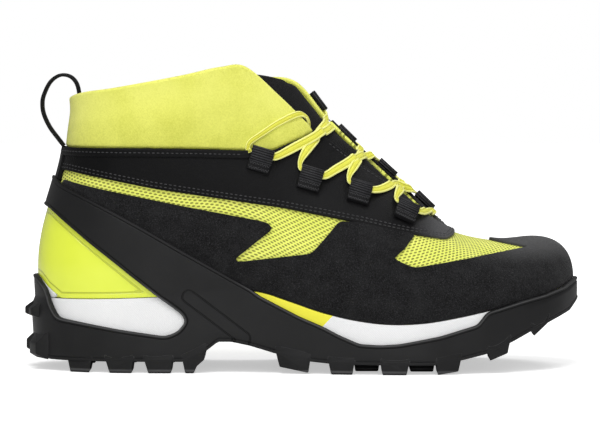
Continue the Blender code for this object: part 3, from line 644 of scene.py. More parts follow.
def dress(piece, finish, slot, *nodes, underside=None):
    """A finished piece: its material, its place in the frame, the solids that it stands for."""
    index = np.zeros(len(piece.data.polygons), np.int32)
    piece.data.materials.clear()
    piece.data.materials.append(finish)
    if underside is not None:
        piece.data.materials.append(underside)
        index[slice(*piece["underside"])] = 1
    piece.data.polygons.foreach_set("material_index", index)
    if "underside" in piece:
        del piece["underside"]
    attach(piece, "root")
    if nodes:
        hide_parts(*nodes)


UPPER_WALL = 2.2
UPPER_EDGE = [(0.5, 0.0), (0.15, -0.2), (0.0, -0.6), (0.0, -1.8), (0.5, -UPPER_WALL)]
UPPER_BOUND = 1.9
CUFF_SEAM = [
    (-160, 118.6), (-82, 118.5), (-54.6, 118.2), (-30.3, 117.4), (-15.2, 117.2), (-0.6, 123.4), (16, 131.5),
]
coarse = Grid(360, np.linspace(0, 1, 57))
under_seam = [*CUFF_SEAM, (16, 190), (180, 190), (180, -20), (-180, -20), (-180, 118.6)]
upper_field = within(region(coarse, under_seam), below_top(coarse), above_feather(coarse))
upper = panel("upper_mesh", coarse, upper_field, UPPER_EDGE, marks={"throat": below_top(coarse)[0]})
dress(upper, mesh_finish(), "upper", "upper", underside=lining_finish("bound_lining", UPPER_BOUND))

# Insole: a loose moulded footbed of foam with a brushed cloth top, cut to the inside of the last and simply
# laid in. Only its heel and waist show through the collar.
INSOLE_THICK = 4.0
INSOLE_SIDE = ((0.5, 0.0), (0.5, 2.6), (0.9, 3.5), (1.8, INSOLE_THICK), (6.0, INSOLE_THICK + 0.1))


def ring_block(name, rows):
    """A full body from rings of points, closed from one side to the other at the bottom and top."""
    count = len(rows[0])
    half = count // 2
    faces = []
    for k in range(len(rows) - 1):
        for i in range(count):
            j = (i + 1) % count
            faces.append([k * count + i, k * count + j, (k + 1) * count + j, (k + 1) * count + i])
    for base, turn in ((0, True), ((len(rows) - 1) * count, False)):
        for i in range(half):
            strip = [base + i, base + i + 1, base + (count - i - 1) % count, base + (count - i) % count]
            strip = [v for k, v in enumerate(strip) if v not in strip[:k]]
            faces.append(strip[::-1] if turn else strip)
    made = add_object(name, np.concatenate(rows), faces)
    made.data.set_sharp_from_angle(angle=CREASE_ANGLE)
    return made


RING = 240
around = np.arange(RING) * ROUND / RING
level_out = unit(normals(around, 0.1) * np.array([1.0, 1.0, 0.0]))
bed_rings = [skin(around, 0.0) - level_out * (UPPER_WALL + gap) + UP * z for gap, z in INSOLE_SIDE]
insole = ring_block("insole_bed", bed_rings)
dress(insole, lining_finish("footbed_cloth"), "insole", "insole")

# Midsole: one white foam wedge moulded to the last, with a fine slanting hatch on its side and a yellow wedge
# let in at the arch. It is glued between the upper and the rubber cup.
MIDSOLE_LEVELS = np.linspace(-1.0, 0.0, 13)
MIDSOLE_SIDE = 1.5
MIDSOLE_SWELL = 0.5
SEAM_GAP = 0.3
WEDGE_FRONT = ((25.2, 11.5), (30.7, 16.8))
WEDGE_REAR = -48.0
HATCH_PITCH = 0.92


def midsole_finish():
    """White foam with a moulded hatch, yellow behind the slanting border at the arch."""
    made, shader, w = new_finish("moulded_foam", srgb(238, 238, 238), 0.55)
    x, _, z = w.place().xyz()
    (z0, x0), (z1, x1) = WEDGE_FRONT
    border = x - (z - z0 * MM) * ((x1 - x0) / (z1 - z0)) - x0 * MM
    yellow = (1 - border.step(-0.0002, 0.0002)) * x.step(WEDGE_REAR * MM, (WEDGE_REAR + 1) * MM)
    tone = w.noise(90, 3)
    white = tone.mix(srgb(240, 240, 241), srgb(249, 249, 249))
    wedge = tone.mix(srgb(236, 228, 44), srgb(246, 240, 66))
    wave = 2 * math.pi / (HATCH_PITCH * MM)
    hatch = (((x + z) * wave).sine() * 0.8 + ((x - z) * wave).sine() * 0.2) * (1 - yellow)
    white = (hatch * 0.5 + 0.5).step(0.1, 0.6).mix(srgb(230, 231, 232), white)
    yellow.mix(white, wedge).into(shader, "Base Color")
    w.bump(hatch * 0.5 + w.noise(1400, 2) * 0.3, 0.0002, 0.6).into(shader, "Normal")
    return made


def ring(level, out):
    """Points round the whole shoe at one level, moved out of it."""
    return skin(around, level) + normals(around, level) * out


swell = [MIDSOLE_SIDE + MIDSOLE_SWELL * math.sin(math.pi * -level) for level in MIDSOLE_LEVELS]
rings = [ring(level, out) for level, out in zip(MIDSOLE_LEVELS, swell)]
rings[0] = rings[0] + UP * SEAM_GAP
rings[-1] = rings[-1] - UP * SEAM_GAP
foam = midsole_finish()
midsole = ring_block("midsole_foam", rings)
dress(midsole, foam, "midsole", "midsole")

# Outsole: one moulding of black rubber, a cup whose edge stands proud as a lip, with lugs under it, a wrap
# up the heel and a strap that runs from the arch up each side and round behind the heel. It is glued to the
# midsole.
SOLE_IN = 1.8
SOLE_OUT = 4.0
HEEL_EXTRA = 3.0
TOE_DROP = 2.2
STRAP_TOP = [
    (-28, 45.4), (-42.8, 53.6), (-63.9, 65.3), (-85.1, 77.4), (-106.2, 88.6), (-126.2, 98.6), (-133, 105),
    (-180, 107),
]
SOLE_TOP = [
    (-21.7, 40.9), (-11.1, 35.5), (-0.6, 30.2), (11.5, 25.2), (20.5, 20.6), (31, 16.1), (41.5, 15.5),
    (52, 16.2), (73.1, 20.2), (92.4, 25.8), (97.4, 32.4), (115, 37.6), (128, 40.6), (139, 44.2), (146, 48.4),
    (180, 51),
]
HEEL_CUT = [
    (-180, 87.8), (-138.8, 87.5), (-132.6, 85.9), (-111.5, 68.5), (-75.6, 40.0), (-63.4, 31.3), (-61, 27.3),
    (-65.5, 21.8), (-71.9, 19.4), (-95.6, 22.8), (-127, 28.4), (-131, 36), (-134, 44), (-139, 50),
    (-180, 53.5),
]
LIP = [
    (2.1, SOLE_OUT - 0.4), (1.8, SOLE_OUT - 0.55), (1.5, SOLE_OUT - 0.1), (0.7, SOLE_OUT),
    (0.25, SOLE_OUT - 0.15), (0.0, SOLE_OUT - 0.6), (0.0, SOLE_IN), (2.1, SOLE_IN),
]
# The heel stands out further and the toe's lip is drawn in: sections that each takes, levels it fades over
HEEL_ROWS, HEEL_FADE = 3.0, (-0.3, 0.14)
TOE_ROWS, TOE_FADE = (3.0, 1.5), (-0.4, 0.06)
# A plain long outline pressed into the strap: its middle line in the side view, half width
PRESSED_LINE, PRESSED_HALF = ((-59.5, 40.5), (-30.0, 18.5)), 3.4


def rubber_finish():
    """Matt mottled charcoal rubber, with painted shade in the pressed outline and the lip's groove, and
    painted highlights on the lip's crest and the lugs' feet.
    """
    made, shader, w = new_finish("moulded_rubber", srgb(28, 28, 29), 0.5, specular_ior_level=0.27)
    tone = w.noise(55, 4)
    grain = w.noise(2200, 2)
    base = tone.mix(srgb(10, 10, 11), srgb(26, 26, 27))
    pressed = 1 - (w.mark("pressed") - PRESSED_HALF).size().step(0.15, 0.55)
    # Painted shade: the pressed outline is painted near black as well as sunk by the bump.
    base = (pressed * 0.7).mix(base, srgb(4, 4, 4))
    edge = w.mark("edge")
    top = 1 - w.mark("rim").step(3.6, 4.6)
    # Painted shade: the groove inside the lip is painted near black.
    groove = (1 - (edge - 1.7).size().step(0.2, 0.5)) * top
    z = w.place().xyz()[2]
    # Painted highlight: a pale line painted along the crest of the lip, up to about 45 mm high.
    crest_highlight = (1 - (edge - 0.55).size().step(0.15, 0.45)) * top * (1 - z.step(0.043, 0.05))
    # Painted highlight: a pale band painted 1 to 2 mm above the floor, where the lugs' bevelled feet catch
    # the light.
    foot = z.step(0.0007, 0.0011) * (1 - z.step(0.0017, 0.0023))
    base = (groove * 0.8).mix(base, srgb(5, 5, 5))
    base = (crest_highlight * (tone * 0.5 + 0.15)).mix(base, srgb(100, 100, 101))
    (foot * (tone * 0.5 + 0.2)).mix(base, srgb(96, 96, 97)).into(shader, "Base Color")
    (grain * 0.14 + 0.43).into(shader, "Roughness")
    w.bump(grain * 0.15 + tone * 0.3 - pressed * 3.0, 0.0004, 0.8).into(shader, "Normal")
    return made


sole_levels = [np.linspace(-2, -1, 6)[:-1], np.linspace(-1, 0, 19)[:-1], np.linspace(0, 0.8, 60)]
cup = Grid(540, np.concatenate(sole_levels))
cup_outline = [*STRAP_TOP[::-1], *SOLE_TOP, (180, -40), (-180, -40)]
cup_side, heel_open = region(cup, cup_outline, 3), outside(region(cup, HEEL_CUT))
bottom = ((cup.level + 2) * SLAB, np.broadcast_to(UP, cup.p.shape))
heel_share = np.clip(1 - cup.row / HEEL_ROWS, 0, 1) * (1 - ease(*HEEL_FADE, cup.level))
toe_share = np.clip((cup.row - TOE + TOE_ROWS[0]) / TOE_ROWS[1], 0, 1) * ease(*TOE_FADE, cup.level)
lip_lift = HEEL_EXTRA * heel_share - TOE_DROP * toe_share
sole_marks = {
    "pressed": np.hypot(*off_line(cup.x, cup.z, *PRESSED_LINE)),
    "rim": 1 + np.minimum(cup_side[0], heel_open[0]),
}
outsole = panel("outsole_cup", cup, within(cup_side, heel_open, bottom), LIP, lip_lift, sole_marks)

# Lugs in the side view: x of the rear top, rear foot, front foot and front top, z of the two feet
LUGS = [
    (-125.0, -122.6, -112.3, -110.4, 0.0, 0.0),
    (-104.8, -101.4, -89.6, -88.2, 0.0, 0.0),
    (-84.2, -80.8, -68.8, -67.4, 0.0, 0.0),
    (-63.6, -61.3, -56.8, -49.0, 0.0, 0.0),
    (-60.0, -58.2, -51.2, -49.0, 1.0, 7.2),
    (-14.4, -11.4, 3.8, 5.4, 3.6, 0.6),
    (13.6, 15.8, 27.0, 28.6, 0.0, 0.0),
    (41.4, 42.8, 55.4, 57.6, 0.0, 0.0),
    (70.6, 71.9, 82.8, 85.2, 0.0, 1.6),
    (97.6, 99.7, 109.2, 111.6, 6.9, 10.6),
    (121.4, 123.5, 131.4, 132.6, 19.0, 25.6),
]
LUG_IN = 24.0
LUG_TAPER = 2.5
LUG_STEP = -0.45
LUG_LEAN = -0.1
LUG_LIFT = 4.4
LUG_BEVEL = 0.7
# Blocks across the middle of the tread: x, width, length
CENTRE_LUGS = [(-95.5, 20.0, 12.0), (-74.8, 20.0, 12.0), (34.9, 66.0, 15.0), (64.1, 70.0, 15.0)]
CENTRE_TAPER = 1.4
# Studs on the heel: place round the shoe, z, width, height, how far they stand out
STUDS = [
    (-0.75, 31.5, 9.0, 9.0, 3.0), (0.0, 31.5, 9.0, 9.0, 3.0), (0.75, 31.5, 9.0, 9.0, 3.0),
    (-1.1, 13.0, 16.0, 15.0, 4.0), (0.0, 13.0, 15.0, 12.0, 3.2), (1.1, 13.0, 16.0, 15.0, 4.0),
]
# How deep a stud is rooted, the share of its width and height left at its face, how far the face drops
STUD_ROOT, STUD_FACE, STUD_DROP = 2.0, (0.27, 0.2), 0.1
SLAB_INSET = 1.4
SLAB_CLEAR = 0.15
SOLE_CREASE = math.radians(38)
SQUARE = ((-1, -1), (1, -1), (1, 1), (-1, 1))
BOX_FACES = [(0, 1, 2, 3), (4, 5, 6, 7), (0, 1, 5, 4), (1, 2, 6, 5), (2, 3, 7, 6), (3, 0, 4, 7)]


def bevelled(work, verts):
    """Adds one closed block with all its edges bevelled to a bmesh."""
    block = bmesh.new()
    made = [block.verts.new(tuple(v)) for v in verts]
    for f in BOX_FACES:
        block.faces.new([made[k] for k in f])
    bmesh.ops.recalc_face_normals(block, faces=block.faces)
    bmesh.ops.bevel(
        block, geom=block.edges[:], offset=LUG_BEVEL, segments=2, profile=0.6, affect="EDGES",
        clamp_overlap=True,
    )
    mesh = bpy.data.meshes.new("block")
    block.to_mesh(mesh)
    block.free()
    work.from_mesh(mesh)
    bpy.data.meshes.remove(mesh)


half_round = np.linspace(0.3, TOE - 0.3, 120)
edges = [skin(a, -1.0) + normals(a, -1.0) * SOLE_OUT for a in (half_round, ROUND - half_round)]


def lug_top(x):
    """Height inside the slab from which a lug comes down."""
    return slab_foot(x) + LUG_LIFT


def lug_face(side, x, z):
    """A point on the outer face of a lug; it leans in towards its foot."""
    y = np.interp(x, edges[side][:, 0], edges[side][:, 1])
    way = -1 if side == 0 else 1
    return np.array([x, y + way * (LUG_STEP - LUG_LEAN * (lug_top(x) - z)), z])


def spot(a, t):
    """The point at one place of the shoe and the way out there."""
    a, t = np.array([a]), np.array([t])
    return skin(a, t)[0], normals(a, t)[0]


def add_lugs(work):
    """Adds the blocks along both sides, those in the middle and the studs on the heel to a bmesh."""
    for x0, x1, x2, x3, z1, z2 in LUGS:
        outline = ((x0, lug_top(x0)), (x1, z1), (x2, z2), (x3, lug_top(x3)))
        for side, inwards in ((0, 1.0), (1, -1.0)):
            outer = [lug_face(side, x, z) for x, z in outline]
            lengths = (LUG_IN, LUG_IN - LUG_TAPER, LUG_IN - LUG_TAPER, LUG_IN)
            inner = [p + np.array([0.0, inwards * long, 0.0]) for p, long in zip(outer, lengths)]
            bevelled(work, outer + inner)
    for x, wide, long in CENTRE_LUGS:
        foot = (long / 2 - CENTRE_TAPER, wide / 2 - CENTRE_TAPER)
        low = [(x + u * foot[0], v * foot[1], 0.0) for u, v in SQUARE]
        top = [(x + u * long / 2, v * wide / 2, lug_top(x)) for u, v in SQUARE]
        bevelled(work, low + top)
    levels = np.linspace(-1.0, 0.0, 40)
    for a, z, wide, tall, out in STUDS:
        p, n = spot(a, np.interp(z, skin(a, levels)[:, 2], levels))
        p = p + n * (SOLE_OUT + HEEL_EXTRA * max(0.0, 1 - abs(a) / HEEL_ROWS))
        across = unit(np.cross(UP, n))
        rise = np.cross(n, across)
        face_wide, face_tall = wide * STUD_FACE[0], tall * STUD_FACE[1]
        face = p - rise * (STUD_DROP * tall) + n * out
        low = [p + across * u * wide / 2 + rise * v * tall / 2 - n * STUD_ROOT for u, v in SQUARE]
        top = [face + across * u * face_wide + rise * v * face_tall for u, v in SQUARE]
        bevelled(work, low + top)


def keep_result(piece, modifier):
    """Makes what a modifier gives the piece's own mesh."""
    graph = bpy.context.evaluated_depsgraph_get()
    made = bpy.data.meshes.new_from_object(piece.evaluated_get(graph))
    piece.modifiers.remove(modifier)
    piece.data = made


def join(piece, other):
    """One body from a piece and a block that it swallows."""
    union = piece.modifiers.new("join", "BOOLEAN")
    union.operation = "UNION"
    union.solver = "MANIFOLD"
    union.object = other
    keep_result(piece, union)
    bpy.data.objects.remove(other)


inset = ring(-1.0, SOLE_OUT - SLAB_INSET)
ground = slab_foot(inset[:, 0])
slab = ring_block("slab", [np.column_stack([inset[:, 0:2], ground + h]) for h in (SLAB_CLEAR, SLAB)])
work = bmesh.new()
add_lugs(work)
for v in work.verts:
    v.co *= MM
lugs = bpy.data.objects.new("lugs", bpy.data.meshes.new("lugs"))
work.to_mesh(lugs.data)
work.free()
scene.collection.objects.link(lugs)
join(outsole, slab)
join(outsole, lugs)
outsole.data.shade_smooth()
outsole.data.set_sharp_from_angle(angle=SOLE_CREASE)
dress(outsole, rubber_finish(), "outsole", "outsole")

# Rand: one overlay of black nubuck cloth round both sides and the toe, die cut with windows for the mesh and
# bonded to the upper, its edge left raw.
PANEL_EDGE = [
    (-180, 107.2), (-124, 106.1), (-106, 102.7), (-79.8, 97.6), (-53.4, 93.6), (-11.1, 87.3), (31, 78.9),
    (49.6, 74.6), (62.8, 72.0), (77, 69.6), (82.4, 71.6), (84.5, 80.0),
]
STRIPE_EDGE = [(-127, 101.4), (-106.2, 96.9), (-63.9, 88.4), (-21.7, 80.4), (-17.5, 79.3), (-14.8, 76.2)]
ARROW_EDGE = [
    (-24.3, 68.7), (-35.2, 59.9), (-33.3, 58.7), (4.2, 63.0), (6.3, 64.0), (12.6, 71.0), (20, 79.8),
]
VAMP_EDGE = [
    (60.5, 72.9), (54.6, 65.6), (48.8, 60.6), (53.5, 58.2), (59.5, 55.7), (99.7, 60.9), (122, 64.1),
    (94, 69.4),
]
STRAP_MID = [(-76, 54), (-96, 68), (-112, 80), (-127, 90)]
OVERLAY_OUT = 1.5
OVERLAY_IN = 0.25
CUT_EDGE = [(0.5, OVERLAY_OUT), (0.2, 1.42), (0.0, 1.15), (0.0, OVERLAY_IN), (0.5, OVERLAY_IN)]


def nubuck_finish():
    """Near black nubuck: a short mottled nap with pale fibre ends, and a painted highlight over the top of
    the toe.
    """
    made, shader, w = new_finish(
        "nubuck", srgb(28, 28, 29), 0.9, sheen_weight=0.1, sheen_roughness=0.35, specular_ior_level=0.14
    )
    nap = w.noise(1300, 3, 0.75)
    brush = w.noise(120, 3)
    tips = w.noise(2100, 2, 0.6).step(0.55, 0.7)
    base = (nap * 0.7 + brush * 0.3).step(0.28, 0.72).mix(srgb(6, 6, 7), srgb(40, 40, 41))
    base = (tips * 0.6).mix(base, srgb(70, 70, 72))
    x, _, z = w.place().xyz()
    # Painted highlight: the top of the toe is painted pale grey, as it faces the light overhead.
    toe_highlight = x.step(0.085, 0.12) * z.step(0.055, 0.07) * (nap * 0.6 + 0.2)
    toe_highlight.mix(base, srgb(112, 112, 113)).into(shader, "Base Color")
    w.bump(nap * 0.8 + brush * 0.6 + tips * 0.2, 0.0007, 0.8).into(shader, "Normal")
    return made


RAND_UNDER = 0.6
fine = Grid(576, np.linspace(0, 1, 81))
rand_outline = [*STRIPE_EDGE, *ARROW_EDGE]
rand_outline += [(x, z + RAND_UNDER) for x, z in PANEL_EDGE[6:8]]
rand_outline += [*VAMP_EDGE, (94, 100), (180, 100), (180, -20), (-30, -20), *STRAP_MID]
rand_field = within(region(fine, rand_outline, 2), above_feather(fine))
rand = panel("rand_overlay", fine, rand_field, CUT_EDGE)
dress(rand, nubuck_finish(), "rand", "rand")

# Heel counter: a moulded cup of glossy lime plastic round the heel, held under the strap, with a line
# pressed in a little way from its border. A rim of the white foam stands up behind its foot.
COUNTER_TOP = [(-76.6, 53.4), (-96.6, 67.4), (-112.6, 79.4), (-127.6, 89.4), (-134, 95.5), (-180, 97)]
HEEL_RIM = [
    (-180, 20), (-180, 52), (-143, 50.8), (-138.8, 49.2), (-134.5, 44.3), (-130.2, 41.1), (-127, 38.4),
    (-124, 35), (-124, 20),
]
BORDER_IN = 2.9


def counter_finish():
    """Glossy lime plastic, with painted shade in the pressed border line."""
    made, shader, w = new_finish(
        "lime_plastic", srgb(233, 246, 66), 0.24, coat_weight=0.4, coat_roughness=0.1
    )
    line = 1 - (w.mark("border") - BORDER_IN).size().step(0.2, 0.7)
    tone = w.noise(40, 2)
    glow = tone.mix(srgb(228, 242, 58), srgb(238, 250, 80))
    # Painted shade: the pressed border line is painted a darker lime.
    (line * 0.6).mix(glow, srgb(176, 186, 34)).into(shader, "Base Color")
    w.bump(tone * 0.2 - line, 0.0004, 0.8).into(shader, "Normal")
    return made


heel_rim = region(fine, HEEL_RIM)
rim = panel("midsole_rim", fine, within(heel_rim, above_feather(fine)), CUT_EDGE)
dress(rim, foam, "midsole")
counter_outline = [(-180, -20), (-62, -20), (-62, 40), *COUNTER_TOP]
bare_heel = within(above_feather(fine), outside(heel_rim))
border_line = within(region(fine, HEEL_CUT), bare_heel)[0]
counter_field = within(region(fine, counter_outline, 2), bare_heel)
counter = panel("heel_cup", fine, counter_field, CUT_EDGE, marks={"border": border_line})
dress(counter, counter_finish(), "heel_counter", "heel_counter")

# Eyestay: the ankle and lace panel of pebbled black synthetic leather, cut in one from the heel to a rounded
# tip on the vamp, laid over mesh and rand and sewn down along its lower edge with two rows.
EYESTAY_OUT = 1.7
EYESTAY_EDGE = [(0.6, EYESTAY_OUT), (0.25, 1.6), (0.0, 1.25), (0.0, OVERLAY_IN), (0.6, OVERLAY_IN)]


def leather_finish():
    """Black synthetic leather with a fine pebble grain, painted lighter towards the front as sheen and pale
    grey at the tip as a highlight.
    """
    made, shader, w = new_finish("pebbled_leather", srgb(20, 20, 21), 0.45, specular_ior_level=0.12)
    grain = w.pebbles(1500)
    slow = w.noise(45, 3)
    x = w.place().xyz()[0]
    tone = slow * 0.5 + grain * 0.6
    # Painted light: the front tones are lighter than the rear as a painted sheen, and the tip's grey is a
    # painted highlight.
    rear = tone.mix(srgb(2, 2, 3), srgb(11, 11, 12))
    front = tone.mix(srgb(7, 7, 8), srgb(22, 22, 23))
    tip = tone.mix(srgb(52, 52, 53), srgb(88, 88, 90))
    x.step(0.056, 0.078).mix(x.step(-0.09, 0.04).mix(rear, front), tip).into(shader, "Base Color")
    (slow * 0.2 + 0.34).into(shader, "Roughness")
    w.bump(grain * 0.9 + w.noise(3200, 2) * 0.3, 0.00025, 0.7).into(shader, "Normal")
    return made


leather = leather_finish()
panel_outline = [*PANEL_EDGE, (84.5, 190), (-180, 190)]
panel_field = region(fine, panel_outline, 2)
seam_field = region(fine, under_seam, 2)
throat_field = below_top(fine)
eyestay = panel("ankle_panel", fine, within(panel_field, seam_field, throat_field), EYESTAY_EDGE)
dress(eyestay, leather, "eyestay", "eyestay")

# Collar band and back stay: a narrow folded strip of the same leather along the cuff seam, and another down
# the middle of the heel, both sewn on over the panel to cover its joins.
BAND_WIDE = 4.6
BAND_OUT = EYESTAY_OUT + 0.8
BAND_EDGE = [(0.7, BAND_OUT), (0.3, BAND_OUT - 0.1), (0.0, BAND_OUT - 0.5), (0.0, 1.5), (0.7, 1.5)]
BAND_REACH = [(-180, 60), (-25, 60), (-23, 190), (-180, 190)]
STAY_WIDE = 20.0
STAY_EDGE = [(0.7, 2.5), (0.3, 2.4), (0.0, 2.0), (0.0, 0.1), (0.7, 0.1)]
STAY_LOW = 98.5
band_low = (BAND_WIDE - seam_field[0], -seam_field[1])
band_field = within(seam_field, band_low, region(fine, BAND_REACH, 1))
band = panel("collar_band", fine, band_field, BAND_EDGE)
dress(band, leather, "eyestay")
from_heel = np.minimum(fine.u, fine.u.max() + (fine.u[1, 0] - fine.u[0, 0]) - fine.u)
to_heel = unit(np.gradient(fine.p, axis=0)) * np.where(fine.a < TOE, -1.0, 1.0)[:, None, None]
stay_side = (STAY_WIDE / 2 - from_heel, to_heel)
stay_low = (fine.z - STAY_LOW, fine.up)
stay = panel("back_stay", fine, within(stay_side, stay_low, seam_field), STAY_EDGE)
dress(stay, leather, "eyestay")

# Cuff: a soft collar of yellow stretch neoprene, folded over at its top edge and sewn to the upper along the
# seam under the collar band.
CUFF_EDGE = [
    (1.5, 0.35), (0.8, 0.2), (0.3, -0.25), (0.0, -1.1), (0.3, -1.95), (0.8, -2.35), (1.5, -2.5),
]
KNIT_PITCH = (0.9, 0.75)
CUFF_BOUND = 6.5


def cuff_finish():
    """Yellow stretch jersey: tiny knit stitches, a soft mottle, a matt sheen, and painted light that makes
    its upper part lighter.
    """
    made, shader, w = new_finish("stretch_jersey", srgb(231, 233, 98), 0.85, sheen_weight=0.25)
    u, v, _ = w.cloth()
    loops = (u * (2 * math.pi / KNIT_PITCH[0])).sine() * (v * (2 * math.pi / KNIT_PITCH[1])).sine()
    slow = w.noise(70, 3)
    speck = w.noise(1100, 3, 0.75)
    mottle = (slow * 0.5 + speck * 0.7).step(0.2, 0.95)
    # Painted light: a shaded copy of the mottle low on the cuff and a lit copy high on it.
    low = mottle.mix(srgb(200, 203, 66), srgb(240, 242, 112))
    high = mottle.mix(srgb(226, 228, 84), srgb(252, 253, 128))
    w.place().xyz()[2].step(0.118, 0.15).mix(low, high).into(shader, "Base Color")
    w.bump(loops * 0.35 + speck * 0.5 + slow * 0.4, 0.0005, 0.6).into(shader, "Normal")
    return made


cuff_outline = [(x, z + SEAM_GAP) for x, z in CUFF_SEAM] + [(16, 190), (-180, 190)]
cuff_field = within(region(fine, cuff_outline, 2), throat_field)
cuff = panel("cuff_collar", fine, cuff_field, CUFF_EDGE, marks={"throat": throat_field[0]})
dress(cuff, cuff_finish(), "cuff", "cuff", underside=lining_finish("cuff_lining", CUFF_BOUND))

# Tongue: a padded strip of dark cloth under the throat, sewn in at the vamp and free at the top, thin at its
# sides where it slips under the panel.
# Its middle line: section of the last, x, z
TONGUE = [
    (7.0, -11.0, 155.4), (7.5, -6.8, 152.6), (8.0, -2.4, 148.8), (8.5, 5.0, 139.6), (9.0, 12.8, 129.6),
    (10.0, 27.6, 117.0), (11.0, 41.9, 104.8), (12.0, 53.9, 94.4), (13.0, 63.2, 84.8), (14.0, 71.5, 76.2),
    (15.0, 79.5, 70.2), (15.8, 89.0, 66.9),
]
# Room under the upper's wall and level of the tongue's sides, at sections of the last
TONGUE_CLEAR = ((8.5, 10.0), (2.4, 0.9))
TONGUE_SIDE = ((8.0, 10.0), (0.86, 0.80))
TONGUE_NEAR = 0.97
TONGUE_THICK = 3.4
TONGUE_THIN = 0.12
TONGUE_ROUND = 0.04
TONGUE_WAVE = (0.15, 38)
TONGUE_NET = (89, 49)
WEAVE_PITCH = 0.9


def through(points, at):
    """A smooth line through points, read at fractional numbers along them."""
    points = np.asarray(points, float)
    at = np.asarray(at, float)
    slope = np.gradient(points, axis=0)
    i = np.clip(np.floor(at).astype(int), 0, len(points) - 2)
    s = (at - i).reshape(-1, *([1] * (points.ndim - 1)))
    return hermite(s, points[i], points[i + 1], slope[i], slope[i + 1])


def tongue_finish():
    """Dark woven cloth over foam, a plain tight weave."""
    made, shader, w = new_finish(
        "tongue_cloth", srgb(20, 20, 22), 0.85, sheen_weight=0.04, specular_ior_level=0.12
    )
    u, v, _ = w.cloth()
    wave = 2 * math.pi / WEAVE_PITCH
    weave = (u * wave).sine() * (v * wave).sine()
    slow = w.noise(80, 3)
    (slow * 0.7 + weave * 0.15).mix(srgb(8, 8, 9), srgb(26, 26, 28)).into(shader, "Base Color")
    w.bump(weave * 0.5 + slow * 0.4, 0.0004, 0.8).into(shader, "Normal")
    return made


def under_wall(a, t, clear):
    """A point inside the shoe, clear of the outer face of the upper."""
    p, n = spot(a, t)
    return p - n * clear


tongue_lines = []
for row, x, z in TONGUE:
    clear = UPPER_WALL + np.interp(row, *TONGUE_CLEAR)
    side = np.interp(row, *TONGUE_SIDE)
    places = ((row, side), (row, TONGUE_NEAR), (ROUND - row, TONGUE_NEAR), (ROUND - row, side))
    out_far, out_near, in_near, in_far = (under_wall(a, t, clear) for a, t in places)
    centre = np.array([x, (out_near[1] + in_near[1]) / 2, z])
    tongue_lines.append([out_far, out_near, centre, in_near, in_far])
long, wide = TONGUE_NET
tongue_net = through(tongue_lines, np.linspace(0, len(TONGUE) - 1, long))
tongue_net = np.stack([through(line, np.linspace(0, 4, wide)) for line in tongue_net])
tongue_up = unit(np.cross(np.gradient(tongue_net, axis=0), np.gradient(tongue_net, axis=1)))
if tongue_up[long // 2, wide // 2, 2] < 0:
    tongue_up = -tongue_up
lengthwise = np.linspace(0, 1, long)[:, None]
crosswise = np.linspace(-1, 1, wide)[None, :]
side_share = np.sqrt(np.clip(1 - np.abs(crosswise) ** 6, 0, 1))
top_share = np.sqrt(np.clip(1 - (1 - lengthwise / TONGUE_ROUND).clip(0, 1) ** 2, 0, 1))
plump = TONGUE_THIN + (1 - TONGUE_THIN) * side_share * top_share
half = TONGUE_THICK / 2
middle_net = tongue_net - tongue_up * half
pad = TONGUE_WAVE[0] * np.cos(lengthwise * TONGUE_WAVE[1]) * (1 - crosswise**2)
face_net = middle_net + tongue_up * ((half + pad) * plump)[..., None]
back_net = middle_net - tongue_up * (half * plump)[..., None]


def face_outwards(mesh):
    """Turns the faces of a closed mesh to look out of it."""
    shape = bmesh.new()
    shape.from_mesh(mesh)
    bmesh.ops.recalc_face_normals(shape, faces=shape.faces)
    shape.to_mesh(mesh)
    shape.free()


def pillow(name, face, back):
    """A closed pad from the nets of its face and its back."""
    k, m = face.shape[:2]
    node = np.arange(k * m).reshape(k, m)
    faces = []
    for i in range(k - 1):
        for j in range(m - 1):
            quad = [node[i, j], node[i, j + 1], node[i + 1, j + 1], node[i + 1, j]]
            faces.append([int(v) for v in quad])
            faces.append([int(v) + k * m for v in quad[::-1]])
    edge = [*node[:, 0], *node[-1, 1:], *node[-2::-1, -1], *node[0, -2:0:-1]]
    for a, b in zip(edge, edge[1:] + edge[:1]):
        faces.append([int(a), int(b), int(b) + k * m, int(a) + k * m])
    made = add_object(name, np.concatenate([face.reshape(-1, 3), back.reshape(-1, 3)]), faces)
    face_outwards(made.data)
    lengths = np.linalg.norm(np.gradient(face, axis=0), axis=2).cumsum(axis=0)
    widths = np.linalg.norm(np.gradient(face, axis=1), axis=2).cumsum(axis=1)
    uv = np.stack([widths, lengths], axis=-1).reshape(-1, 2)
    set_uv(made.data, np.concatenate([uv, uv]))
    return made


tongue = pillow("tongue_pad", face_net, back_net)
dress(tongue, tongue_finish(), "tongue", "tongue")

# Lace loops: eight tabs of black ribbed tape, folded round an eye for the lace and sewn down through both
# layers, four on the outer panel and four on the far side standing past the throat edge.
# Outer loops: x and z of the nose and of the sewn foot in the side view
LOOPS_OUT = [
    (-20.3, 118.2, -23.6, 106.2), (5.8, 106.9, 2.8, 95.9), (31.6, 99.4, 28.8, 88.0),
    (56.4, 88.3, 53.1, 77.9),
]
# Inner loops: section of the last, how far the nose passes the edge, thickness of the layer under it
LOOPS_IN = [
    (8.64, 1.0, 0.6), (9.68, -1.0, EYESTAY_OUT), (11.14, -1.0, EYESTAY_OUT), (12.92, -1.0, EYESTAY_OUT),
]
LOOP_WIDTH = 12.0
LOOP_LONG = 12.5
LOOP_CLEAR = 0.6
